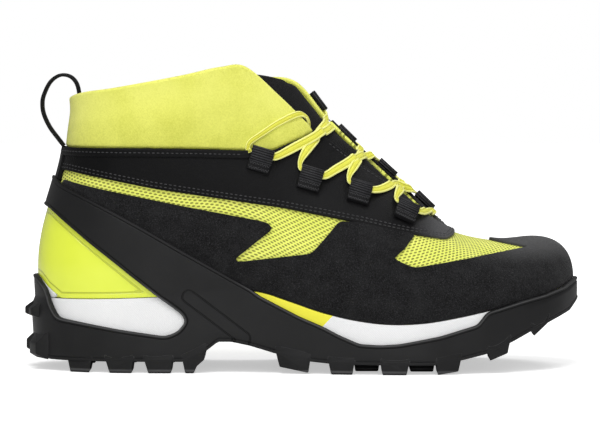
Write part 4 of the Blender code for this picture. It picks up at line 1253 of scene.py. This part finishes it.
# The fold of a loop from the side: distance down from the nose, height
LOOP_FOLD = [
    (12.6, 0.45), (10.0, 0.45), (7.0, 0.5), (3.6, 0.5), (1.7, 0.6), (0.75, 1.2), (0.5, 1.95), (0.75, 2.75),
    (1.7, 3.3), (3.4, 3.4), (5.2, 3.35), (6.7, 2.6), (7.9, 1.8), (9.8, 1.55), (12.6, 1.5),
]
FOLD_STEPS = 113
TAB_FOOT = 1.55
TAPE_THICK = 0.95
TAPE_CREASE = math.radians(50)
RIBBED = slice(40, 96)
RIB_PITCH = 1.3
RIB_LONG = 0.72
RIB_WIDE = LOOP_WIDTH * 1.01
RIB_HIGH = 0.5
TACK_ROWS = (9.0, 11.6)
TACK_SWING = 0.55
TACK_PITCH = 1.5
TACK_MARGIN = 1.2


def seen_at(x, z):
    """Place round the shoe and level of the point that the outer side view shows at x, z."""
    outer = np.where(fine.a[:, None] < TOE, np.hypot(fine.x - x, fine.z - z), 1e6)
    i, j = np.unravel_index(outer.argmin(), outer.shape)
    a, t = fine.a[i], fine.t[j]
    for _ in range(12):
        p, pa, pt = skin(np.array([a, a + 0.01, a]), np.array([t, t, t + 0.005]))
        da, dt = (pa - p) / 0.01, (pt - p) / 0.005
        move = np.linalg.solve([[da[0], dt[0]], [da[2], dt[2]]], [x - p[0], z - p[2]])
        a, t = a + move[0], float(np.clip(t + move[1], 0.01, 0.99))
    return a, t


def outer_loop_frame(x, z, sewn_x, sewn_z):
    """Nose of a loop, the way down it, the way along the throat, and the way out of the shoe."""
    middle, out = spot(*seen_at((x + sewn_x) / 2, (z + sewn_z) / 2))
    down = spot(*seen_at(sewn_x, sewn_z))[0] - spot(*seen_at(x, z))[0]
    down = unit(down - out * down.dot(out))
    wide = unit(np.cross(down, out))
    wide = wide if wide[0] > 0 else -wide
    return middle + out * (EYESTAY_OUT + LOOP_CLEAR) - down * LOOP_LONG / 2, down, wide, out


def inner_loop_frame(row, reach, carrier):
    """The same for a loop on the far side."""
    a = ROUND - row
    edge, edge_out = spot(a, 1.0)
    wide = unit(spot(a - 0.1, 1.0)[0] - spot(a + 0.1, 1.0)[0])
    down = spot(a, 0.97)[0] - edge
    down = unit(down - wide * down.dot(wide))
    out = unit(np.cross(down, wide))
    out = out if out.dot(spot(a, 0.98)[1]) > 0 else -out
    return edge + edge_out * (carrier + LOOP_CLEAR) - down * reach, down, wide, out


def strip(name, path, ups, section, shares=None):
    """A closed strip of one section along a path: ups look out of its face, section is (across, up) in turn,
    and shares narrow it along its way."""
    path, ups = np.asarray(path), np.asarray(ups)
    shares = np.ones(len(path)) if shares is None else shares
    ways = unit(np.gradient(path, axis=0))
    across = unit(np.cross(ways, ups))
    ups = np.cross(across, ways)
    n, m = len(path), len(section)
    verts = [p + a * k * u + b * v for p, u, v, k in zip(path, across, ups, shares) for a, b in section]
    faces = [list(range(m))[::-1], [(n - 1) * m + k for k in range(m)]]
    for i in range(n - 1):
        for k in range(m):
            j = (k + 1) % m
            faces.append([i * m + k, i * m + j, (i + 1) * m + j, (i + 1) * m + k])
    made = add_object(name, verts, faces)
    face_outwards(made.data)
    set_uv(made.data, np.array([(a, s) for s in travelled(path) for a, _ in section]))
    made.data.set_sharp_from_angle(angle=TAPE_CREASE)
    return made


def tape_section(wide, thick):
    """A flat tape with softly rounded selvedges."""
    r = thick * 0.42
    w, h = wide / 2, thick / 2
    return [(-w, -h + r), (-w + r, -h), (-w / 3, -h), (w / 3, -h), (w - r, -h), (w, -h + r),
            (w, h - r), (w - r, h), (w / 3, h), (-w / 3, h), (-w + r, h), (-w, h - r)]


def webbing_finish(name, low, high, gloss):
    """Black nylon webbing with a tight weave and a slight shine on its threads."""
    made, shader, w = new_finish(name, low, gloss, specular_ior_level=0.18)
    thread = w.pebbles(1500)
    slow = w.noise(420, 2)
    (slow * 0.7 + thread * 0.4).mix(low, high).into(shader, "Base Color")
    w.bump(thread + w.noise(2400, 1) * 0.4, 0.0003, 0.7).into(shader, "Normal")
    return made


def lines_object(name, lines, outs):
    """Open lines as a mesh of edges, with the way out of the shoe kept on every point."""
    mesh = bpy.data.meshes.new(name)
    verts, links, ways = [], [], []
    for line, way in zip(lines, outs):
        start = len(verts)
        verts.extend(np.asarray(line) * MM)
        ways.extend(way)
        links.extend((start + k, start + k + 1) for k in range(len(line) - 1))
    mesh.from_pydata(verts, links, [])
    mark = mesh.attributes.new("out", "FLOAT_VECTOR", "POINT")
    mark.data.foreach_set("vector", np.asarray(ways, np.float32).ravel())
    made = bpy.data.objects.new(name, mesh)
    scene.collection.objects.link(made)
    return made


def along_lines(name, shape, turned=(0.0, 0.0, 0.0)):
    """A node tree that sets one small shape at even steps along lines, its X along them, its Z outwards."""
    tree = bpy.data.node_groups.new(name, "GeometryNodeTree")
    kinds = {"Geometry": "Geometry", "Finish": "Material"}
    for title in ("Geometry", "Step", "Length", "Width", "Height", "Finish"):
        kind = kinds.get(title, "Float")
        tree.interface.new_socket(name=title, in_out="INPUT", socket_type=f"NodeSocket{kind}")
    tree.interface.new_socket(name="Geometry", in_out="OUTPUT", socket_type="NodeSocketGeometry")
    node = Wire(tree).node
    given = {s.name: Wire(tree, s) for s in node("NodeGroupInput").socket.node.outputs}
    curve = node("GeometryNodeMeshToCurve", None, {"Mesh": given["Geometry"]})
    points = node("GeometryNodeResampleCurve", {"mode": "LENGTH"}, {"Curve": curve, "Length": given["Step"]})
    size = node("ShaderNodeCombineXYZ", None, {0: given["Length"], 1: given["Width"], 2: given["Height"]})
    laid = node("GeometryNodeTransform", None, {"Geometry": node(*shape), "Rotation": turned})
    scaled = node("GeometryNodeTransform", None, {"Geometry": laid, "Scale": size})
    tangent = node("GeometryNodeInputTangent")
    out = node("GeometryNodeInputNamedAttribute", {"data_type": "FLOAT_VECTOR"}, {"Name": "out"})
    align = "FunctionNodeAlignRotationToVector"
    first = node(align, {"axis": "X"}, {"Vector": tangent})
    turn = node(align, {"axis": "Z", "pivot_axis": "X"}, {"Rotation": first, "Vector": out})
    on_points = {"Points": points, "Instance": scaled, "Rotation": turn}
    placed = node("GeometryNodeInstanceOnPoints", None, on_points)
    real = node("GeometryNodeRealizeInstances", None, {"Geometry": placed})
    smooth = node("GeometryNodeSetShadeSmooth", None, {0: real})
    dressed = node("GeometryNodeSetMaterial", None, {"Geometry": smooth, "Material": given["Finish"]})
    dressed.into(tree.nodes.new("NodeGroupOutput"), 0)
    return tree


def grow(piece, tree, step, length, width, height, finish):
    """Runs a tree of small shapes on a lines object and keeps the result as its mesh."""
    grown = piece.modifiers.new("grow", "NODES")
    grown.node_group = tree
    values = {"Step": step * MM, "Length": length * MM, "Width": width * MM, "Height": height * MM}
    values["Finish"] = finish
    for socket in tree.interface.items_tree:
        if socket.in_out == "INPUT" and socket.name in values:
            grown[socket.identifier] = values[socket.name]
    keep_result(piece, grown)


webbing = webbing_finish("nylon_webbing", srgb(6, 6, 7), srgb(20, 20, 22), 0.6)
# A lighter copy of the webbing for the ribs: a painted highlight on their crests.
ridge = webbing_finish("rib_highlight_webbing", srgb(20, 20, 22), srgb(66, 66, 69), 0.5)
rib_tree = along_lines(
    "ribs along lines", ("GeometryNodeMeshCylinder", None, {"Vertices": 10, "Radius": 0.5, "Depth": 1.0}),
    (math.pi / 2, 0.0, 0.0),
)
outer_frames = [outer_loop_frame(*row) for row in LOOPS_OUT]
inner_frames = [inner_loop_frame(*row) for row in LOOPS_IN]
rib_lines, rib_outs, tack_lines, tack_outs = [], [], [], []
fold = through(LOOP_FOLD, np.linspace(0, len(LOOP_FOLD) - 1, FOLD_STEPS))
turn = np.gradient(fold, axis=0)
turn = unit(np.column_stack([turn[:, 1], -turn[:, 0]]))
tack_count = int(LOOP_WIDTH / TACK_PITCH) * 2 + 1
tack_along = np.linspace(-0.5, 0.5, tack_count)[:, None] * (LOOP_WIDTH - TACK_MARGIN)
tack_swing = np.where(np.arange(tack_count) % 2, TACK_SWING, -TACK_SWING)[:, None]
for group, frames in (("out", outer_frames), ("in", inner_frames)):
    for number, (nose, down, wide, out) in enumerate(frames, 1):
        path = nose + fold[:, 0:1] * down + fold[:, 1:2] * out
        ups = turn[:, 0:1] * down + turn[:, 1:2] * out
        if (ups[-1] * out).sum() < 0:
            ups = -ups
        tab = strip(f"lace_tab_{group}_{number}", path, ups, tape_section(LOOP_WIDTH, TAPE_THICK))
        dress(tab, webbing, "webbing", f"loop_{group}_{number}")
        rib_lines.append(path[RIBBED] + ups[RIBBED] * TAPE_THICK / 2)
        rib_outs.append(ups[RIBBED])
        for row in TACK_ROWS:
            middle = nose + down * row + out * (TAB_FOOT + TAPE_THICK / 2)
            tack_lines.append(middle + wide * tack_along + down * tack_swing)
            tack_outs.append(np.repeat(out[None], tack_count, axis=0))
ribs = lines_object("lace_tab_ribs", rib_lines, rib_outs)
grow(ribs, rib_tree, RIB_PITCH, RIB_LONG, RIB_WIDE, RIB_HIGH, ridge)
dress(ribs, ridge, "webbing")

# Lace: one flat woven lace, yellow with pale selvedges and two thin lines, run through all eight loops and
# stopped at the top inner one. Its outer end crosses the cuff and is tucked in beside the tongue, with no
# bow.
LACE_CLEAR = 1.3
LACE_GAP = 0.6
LACE_LEAD = 1.5
LACE_STEP = 1.1
LACE_EASE = 24
LACE_LIFT, LIFT_REACH = 1.2, 6.0
LACE_TURN = np.array([0.0, -0.75, 0.0])
EVEN_STEP, EVEN_EASE = 0.8, 3
EYE = (3.0, 1.95)
EYE_SHARES = np.linspace(0.12, 0.88, 7)
TOUCH = 0.1
# Share of the lace's width that is left: in an eye on its way over, on its way under, in a far eye, full
PINCH_OVER, PINCH_UNDER, PINCH_FAR, FULL = 0.88, 0.45, 0.7, 1.03
# Distances over which a run widens after an outer loop and narrows before an inner one
WIDEN, NARROW = (1.0, 13.0), (0.0, 9.0)
# A run turns to face out of its loops over this share of its length, and its face is smoothed so often
FACE_PART, FACE_EASE = 6, 6
# The outer end: side view places on the cuff, then points over the cuff's edge and down beside the tongue
END_ON_CUFF = [
    (-28.1, 116.9), (-28.4, 119.2), (-27.1, 122.0), (-20.8, 126.3), (-14.4, 130.6), (-7.5, 134.2),
    (-2.2, 136.3),
]
END_TUCKED = [(1.0, -17.0, 136.2), (3.2, -15.0, 134.4), (4.2, -13.6, 131.4), (3.6, -12.4, 127.5)]
END_HEIGHT = 1.0
END_UP = unit(np.array([0.6, -0.45, 0.65]))
END_STEPS = 60
# Numbers of its points, and the share of the width there
END_SHARES = ((0, 3, 6, 11), (PINCH_UNDER, 0.6, 0.75, 0.6))
# Places on the panel, tongue and far edge that the runs pass: over from each outer loop to the next inner
# one below, under from each outer loop to the inner one above it, and the bar between the two lowest
OVERS = [
    [(-10.3, -30.1, 115.5), (-4.6, -27.7, 118.2), (0.3, -24.9, 120.9), (5.4, -22.0, 123.4),
     (9.6, -18.8, 125.6), (14.2, -3.2, 127.4)],
    [(15.3, -27.0, 105.4), (20.7, -23.4, 107.9), (26.1, -18.3, 110.8), (30.6, -4.7, 112.3),
     (35.2, 10.6, 113.2)],
    [(42.0, -22.9, 95.9), (46.4, -18.8, 96.8), (51.5, 10.0, 96.9), (55.9, 10.8, 96.4), (59.2, 9.6, 93.2)],
]
UNDERS = [
    [(-0.6, -28.5, 112.4), (1.6, -26.6, 116.3), (5.1, -23.3, 120.2), (10.1, -7.9, 127.3),
     (13.4, 11.6, 132.7)],
    [(26.0, -22.5, 105.8), (28.2, -18.8, 108.8), (31.4, 10.4, 114.8)],
    [(50.6, -20.2, 92.9), (52.4, -13.8, 95.2), (53.7, 10.4, 96.9)],
]
BAR = [(66.5, -9.9, 83.8)]
LACE_SECTION = [
    (-2.4, 0.0), (-2.3, -0.36), (-1.95, -0.55), (-1.35, -0.55), (-1.05, -0.4), (-0.75, -0.55), (0.75, -0.55),
    (1.05, -0.4), (1.35, -0.55), (1.95, -0.55), (2.3, -0.36), (2.4, 0.0), (2.3, 0.36), (1.95, 0.55),
    (1.35, 0.55), (1.05, 0.4), (0.75, 0.55), (-0.75, 0.55), (-1.05, 0.4), (-1.35, 0.55), (-1.95, 0.55),
    (-2.3, 0.36),
]


def lace_finish():
    """Yellow braid: slanting plaits, pale selvedges and two thin sunk lines."""
    made, shader, w = new_finish("flat_braid", srgb(238, 238, 96), 0.75, sheen_weight=0.1)
    u, v, _ = w.cloth()
    sunk = 1 - (u.size() - 1.05).size().step(0.05, 0.3)
    selvedge = u.size().step(1.3, 1.8)
    plait = ((v + u.size() * 0.8) * (2 * math.pi / 1.1)).sine()
    slow = w.noise(300, 2)
    braid = (slow * 0.7 + plait * 0.12 + 0.15).mix(srgb(222, 220, 62), srgb(242, 240, 88))
    braid = selvedge.mix(braid, srgb(250, 250, 148))
    (sunk * 0.6).mix(braid, srgb(186, 184, 48)).into(shader, "Base Color")
    w.bump(plait * 0.5 - sunk * 0.6, 0.0003, 0.5).into(shader, "Normal")
    return made


under_lace, under_faces = [], []
for node in ("upper", "cuff", "eyestay", "tongue"):
    mesh = frame["nodes"][node].data
    start = len(under_lace)
    under_lace.extend(v.co / MM for v in mesh.vertices)
    under_faces.extend(tuple(start + k for k in f.vertices) for f in mesh.polygons)
shoe_tree = BVHTree.FromPolygons(under_lace, under_faces)


def held_off(p, clear):
    """A point moved out of the shoe until it is clear of it, and the way out there."""
    spot, n, _, far = shoe_tree.find_nearest(Vector(p))
    spot, n = np.array(spot), np.array(n)
    inside = (p - spot).dot(n) < 0
    if far > TOUCH and not inside:
        n = (p - spot) / far
    return (spot + n * clear if far < clear or inside else p), n


def eye_exit(loop, way):
    """Where the lace comes out of a loop, and its direction there."""
    nose, down, wide, out = loop
    middle = nose + down * EYE[0] + out * EYE[1]
    return middle + wide * way * (LOOP_WIDTH / 2 + LACE_GAP), wide * way


def even_steps(rows, step):
    """Rows whose first three columns are points of a path, read again at even steps along it."""
    far = travelled(rows[:, 0:3])
    at = np.linspace(0, far[-1], int(far[-1] / step) + 1)
    return np.column_stack([np.interp(at, far, column) for column in rows.T])


def ease_kinks(rows):
    """Draws every row but the end ones half way to the mean of its neighbours."""
    rows[1:-1] = rows[1:-1] * 0.5 + (rows[:-2] + rows[2:]) * 0.25


def laid(start, places, end):
    """A lace run out of one loop, over places on the shoe and into another loop, its corners eased."""
    (a, way_a), (b, way_b) = start, end
    path = even_steps(np.array([a, a + way_a * LACE_LEAD, *places, b + way_b * LACE_LEAD, b]), LACE_STEP)
    for _ in range(LACE_EASE):
        ease_kinks(path)
        for i in range(1, len(path) - 1):
            path[i] = held_off(path[i], LACE_CLEAR)[0]
    return path


def faced(path, first, last):
    """The way out of the shoe along a run, turned into the loops at its ends."""
    share = np.linspace(0, 1, len(path))[:, None]
    near, end = (np.clip(1 - FACE_PART * part, 0, 1) for part in (share, 1 - share))
    ups = np.array([unit(held_off(p, 0.0)[1] + LACE_TURN) for p in path])
    ups = ups * (1 - near - end) + first * near + last * end
    for _ in range(FACE_EASE):
        ups[1:-1] = unit(ups[:-2] + 2 * ups[1:-1] + ups[2:])
    return unit(ups)


def lift_over(over, under):
    """Lifts one run over another where they cross."""
    path, ups, _ = over
    crossing = np.linalg.norm(path[:, None] - under[0][None], axis=2).min(axis=1).argmin()
    far = np.linalg.norm(path - path[crossing], axis=1)
    path += ups * (LACE_LIFT * np.exp(-((far / LIFT_REACH) ** 2)))[:, None]


def run(a, way_a, b, way_b, pinch, places):
    """One run from an outer loop to an inner one: points, ways out and shares of the width."""
    path = laid(eye_exit(outer_frames[a], way_a), places, eye_exit(inner_frames[b], way_b))
    far = np.linalg.norm(path - path[0], axis=1)
    shares = pinch + (FULL - pinch) * ease(*WIDEN, far)
    shares = np.minimum(shares, PINCH_FAR + (FULL - PINCH_FAR) * ease(*NARROW, far[-1] - far))
    return path, faced(path, outer_frames[a][3], inner_frames[b][3]), shares


def back(pieces):
    return tuple(part[::-1] for part in pieces)


def inside_loop(loop, way, first, last):
    """The short stretch of lace in a loop's eye."""
    begin, end = eye_exit(loop, -way)[0], eye_exit(loop, way)[0]
    path = begin * (1 - EYE_SHARES)[:, None] + end * EYE_SHARES[:, None]
    return path, np.repeat(loop[3][None], len(path), axis=0), first + (last - first) * EYE_SHARES


overs = [run(i, 1, i + 1, -1, PINCH_OVER, OVERS[i]) for i in range(3)]
unders = [run(i + 1, -1, i, 1, PINCH_UNDER, UNDERS[i]) for i in range(3)]
bar = run(3, 1, 3, 1, PINCH_OVER, BAR)
for over, under in zip(overs, unders):
    lift_over(over, under)
over_eye, under_eye = (1, PINCH_UNDER, PINCH_OVER), (-1, PINCH_OVER, PINCH_UNDER)
down_eye, up_eye = (1, PINCH_FAR, PINCH_FAR), (-1, PINCH_FAR, PINCH_FAR)
route = [
    inside_loop(outer_frames[0], *over_eye), overs[0],
    inside_loop(inner_frames[1], *down_eye), back(unders[1]),
    inside_loop(outer_frames[2], *over_eye), overs[2],
    inside_loop(inner_frames[3], *down_eye), back(bar),
    inside_loop(outer_frames[3], *under_eye), unders[2],
    inside_loop(inner_frames[2], *up_eye), back(overs[1]),
    inside_loop(outer_frames[1], *under_eye), unders[0],
    inside_loop(inner_frames[0], *up_eye),
]


def evenly(path, ups, shares):
    """A run with points at even steps and its kinks eased."""
    every = even_steps(np.column_stack([path, ups, shares]), EVEN_STEP)
    for _ in range(EVEN_EASE):
        ease_kinks(every)
    return every[:, 0:3], unit(every[:, 3:6]), every[:, 6]


braid = lace_finish()
lace_path, lace_ups, lace_shares = evenly(*(np.concatenate(parts) for parts in zip(*route)))
lace = strip("lace_run", lace_path, lace_ups, LACE_SECTION, lace_shares)
dress(lace, braid, "lace", "lace_bar", "lace_cross_1", "lace_cross_2", "lace_cross_3")

end_path, end_ups = [eye_exit(outer_frames[0], -1)[0]], [outer_frames[0][3]]
for x, z in END_ON_CUFF:
    p, n = spot(*seen_at(x, z))
    end_path.append(p + n * END_HEIGHT)
    end_ups.append(n)
end_path += [np.array(point) for point in END_TUCKED]
end_ups += [END_UP] * len(END_TUCKED)
steps = np.linspace(0, len(end_path) - 1, END_STEPS)
end_shares = np.interp(steps, *END_SHARES)
end_path, end_ups, end_shares = evenly(through(end_path, steps), through(end_ups, steps), end_shares)
end = strip("lace_end_out_braid", end_path, end_ups, LACE_SECTION, end_shares)
dress(end, braid, "lace", "lace_end_out")
end_length = float(np.linalg.norm(np.diff(end_path, axis=0), axis=1).sum()) * MM
end_path[0] * MM
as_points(end_path * MM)

# Pull loop: a length of black tape, sewn into the cuff seam at the heel, standing up in a bow behind the
# collar and sewn again inside it.
PULL = [
    (-127.9, 119.0), (-130.6, 122.6), (-135.4, 129.1), (-138.6, 136.0), (-139.4, 141.5), (-138.6, 146.4),
    (-135.1, 153.4), (-130.0, 157.0), (-124.8, 156.6), (-121.2, 153.2), (-119.6, 147.4), (-120.0, 140.5),
]
PULL_WIDE = 10.0
PULL_THICK = 1.8
bow = through(PULL, np.linspace(0, len(PULL) - 1, 111))
bow_way = unit(np.gradient(bow, axis=0))
bow_path, bow_ups = (
    np.column_stack([x, np.zeros(len(bow)), z]) for x, z in (bow.T, (-bow_way[:, 1], bow_way[:, 0]))
)
pull = strip("pull_tape", bow_path, bow_ups, tape_section(PULL_WIDE, PULL_THICK))
dress(pull, webbing, "webbing", "pull_loop")

# Stitching: charcoal thread in even stitches along the panel's lower edge, the collar band, the throat edge
# and across the feet of the lace tabs.
STITCH_STEP = 2.5
STITCH_LONG = 1.75
THREAD = 0.55
TACK_LONG = 0.9
TACK_THREAD = 0.42
THREAD_PROUD = 0.05
# Distances of the rows in from their edges, and how far along the shoe they are sewn
PANEL_ROWS, PANEL_SEWN_TO = (1.5, 3.3), 112
BAND_SEWN_TO = -33
THROAT_ROW, THROAT_SEWN = 2.4, (14, 76)


def thread_finish():
    """Bonded charcoal thread, twisted."""
    made, shader, w = new_finish("charcoal_thread", srgb(52, 52, 54), 0.5, specular_ior_level=0.4)
    w.bump(w.noise(3000, 1), 0.0002, 0.5).into(shader, "Normal")
    twist = w.noise(900, 1)
    twist.mix(srgb(34, 34, 36), srgb(74, 74, 76)).into(shader, "Base Color")
    return made


def contour(grid, depth, level, height, keep):
    """Lines on the shoe at one distance in from an edge, and the ways out along them."""
    _, found, sides = cells(grid, depth, level)
    first = grid.v.size
    p, n = spread(grid.p, found)[first:], unit(spread(grid.n, found)[first:])
    wanted = keep(p)
    links = {}
    for u, v in sides:
        if wanted[u - first] and wanted[v - first]:
            links.setdefault(u - first, []).append(v - first)
            links.setdefault(v - first, []).append(u - first)
    lines, outs, seen = [], [], set()
    for begin in sorted(links, key=lambda k: (len(links[k]), k)):
        if begin in seen:
            continue
        chain, here = [begin], begin
        seen.add(begin)
        while True:
            ahead = [k for k in links[here] if k not in seen]
            if not ahead:
                break
            here = ahead[0]
            seen.add(here)
            chain.append(here)
        if len(chain) > 3:
            lines.append(p[chain] + n[chain] * height)
            outs.append(n[chain])
    return lines, outs


stitch_tree = along_lines(
    "stitches along lines", ("GeometryNodeMeshUVSphere", None, {"Segments": 8, "Rings": 5, "Radius": 0.5})
)
thread = thread_finish()
on_panel, on_band = EYESTAY_OUT + THREAD_PROUD, BAND_OUT + THREAD_PROUD
sewn = [
    *(contour(fine, panel_field[0], row, on_panel, lambda p: p[:, 2] < PANEL_SEWN_TO) for row in PANEL_ROWS),
    contour(fine, seam_field[0], BAND_WIDE / 2, on_band, lambda p: p[:, 0] < BAND_SEWN_TO),
    contour(
        fine, throat_field[0], THROAT_ROW, on_panel,
        lambda p: (p[:, 0] > THROAT_SEWN[0]) & (p[:, 0] < THROAT_SEWN[1]),
    ),
]
seam_lines = [line for lines, _ in sewn for line in lines]
seam_outs = [way for _, ways in sewn for way in ways]
stitches = lines_object("black_stitches", seam_lines, seam_outs)
grow(stitches, stitch_tree, STITCH_STEP, STITCH_LONG, THREAD, THREAD, thread)
dress(stitches, thread, "eyestay")
tacks = lines_object("tab_tacks", tack_lines, tack_outs)
grow(tacks, stitch_tree, TACK_LONG, TACK_LONG, TACK_THREAD, TACK_THREAD, thread)
dress(tacks, thread, "webbing")

# Stage: a plain pale floor, a broad soft light overhead with weaker ones in front and behind, and a far
# camera a little above level that looks straight at the outer side.
FLOOR_HALF = 4.0
FLOOR_Z = -0.05
FLOOR_GLOW = 0.5
FLOOR_NEAR, FLOOR_FAR = 0.18, 0.5
CAMERA_LENS = 200
CAMERA_UP = math.radians(3.0)
CAMERA_AWAY = 1.8
CAMERA_TARGET = Vector((-0.0006, 0.0, 0.0795))
ROOM_LIGHT = 0.33
# Lights: place, aim, size in metres, watts
LIGHTS = [
    ((-0.2, -0.75, 1.35), (0.0, 0.0, 0.06), 0.9, 12.6),
    ((0.1, -1.5, 0.5), (0.0, 0.0, 0.06), 1.2, 5.2),
    ((0.5, 0.35, 1.3), (0.05, 0.0, 0.07), 0.7, 4.0),
]


def floor_finish():
    """Pale matt card that the lens sees burnt out to white, as on a light table, but that lights nothing."""
    made, shader, w = new_finish(
        "pale_card", srgb(246, 246, 246), 0.9, specular_ior_level=0.0, emission_strength=1.0
    )
    w.noise(12, 2).mix(srgb(245, 245, 245), srgb(247, 247, 247)).into(shader, "Base Color")
    x, y, _ = w.place().xyz()
    away = (x * x + y * y).step(FLOOR_NEAR**2, FLOOR_FAR**2)
    direct = w.node("ShaderNodeLightPath") * (away * (1 - FLOOR_GLOW) + FLOOR_GLOW)
    direct.mix((0.0, 0.0, 0.0), (1.0, 1.0, 1.0)).into(shader, "Emission Color")
    return made


half = FLOOR_HALF / MM
floor = add_object("floor", [(u * half, v * half, FLOOR_Z) for u, v in SQUARE], [(0, 1, 2, 3)])
floor.data.materials.append(floor_finish())

world = bpy.data.worlds.new("studio")
world.use_nodes = True
sky = Wire(world.node_tree)
room = world.node_tree.nodes["Background"]
room.inputs["Color"].default_value = (1, 1, 1, 1)
room.inputs["Strength"].default_value = ROOM_LIGHT
seen = sky.node("ShaderNodeLightPath")
backdrop = sky.node("ShaderNodeBackground", None, {"Color": (1, 1, 1, 1)})
both = {0: seen, 1: Wire(world.node_tree, room.outputs[0]), 2: backdrop}
sky.node("ShaderNodeMixShader", None, both).into(world.node_tree.nodes["World Output"], "Surface")
scene.world = world
scene.view_settings.view_transform = "Standard"

for number, (spot_at, aim, size, watts) in enumerate(LIGHTS, 1):
    name = f"soft_light_{number}"
    lamp = bpy.data.objects.new(name, bpy.data.lights.new(name, "AREA"))
    lamp.data.shape = "DISK"
    lamp.data.size = size
    lamp.data.energy = watts
    lamp.location = spot_at
    lamp.rotation_euler = (Vector(aim) - Vector(spot_at)).to_track_quat("-Z", "Y").to_euler()
    scene.collection.objects.link(lamp)

camera = bpy.data.objects.new("camera", bpy.data.cameras.new("camera"))
camera.data.lens = CAMERA_LENS
camera.location = CAMERA_TARGET + Vector((0, -math.cos(CAMERA_UP), math.sin(CAMERA_UP))) * CAMERA_AWAY
camera.rotation_euler = (math.pi / 2 - CAMERA_UP, 0, 0)
scene.collection.objects.link(camera)
scene.camera = camera
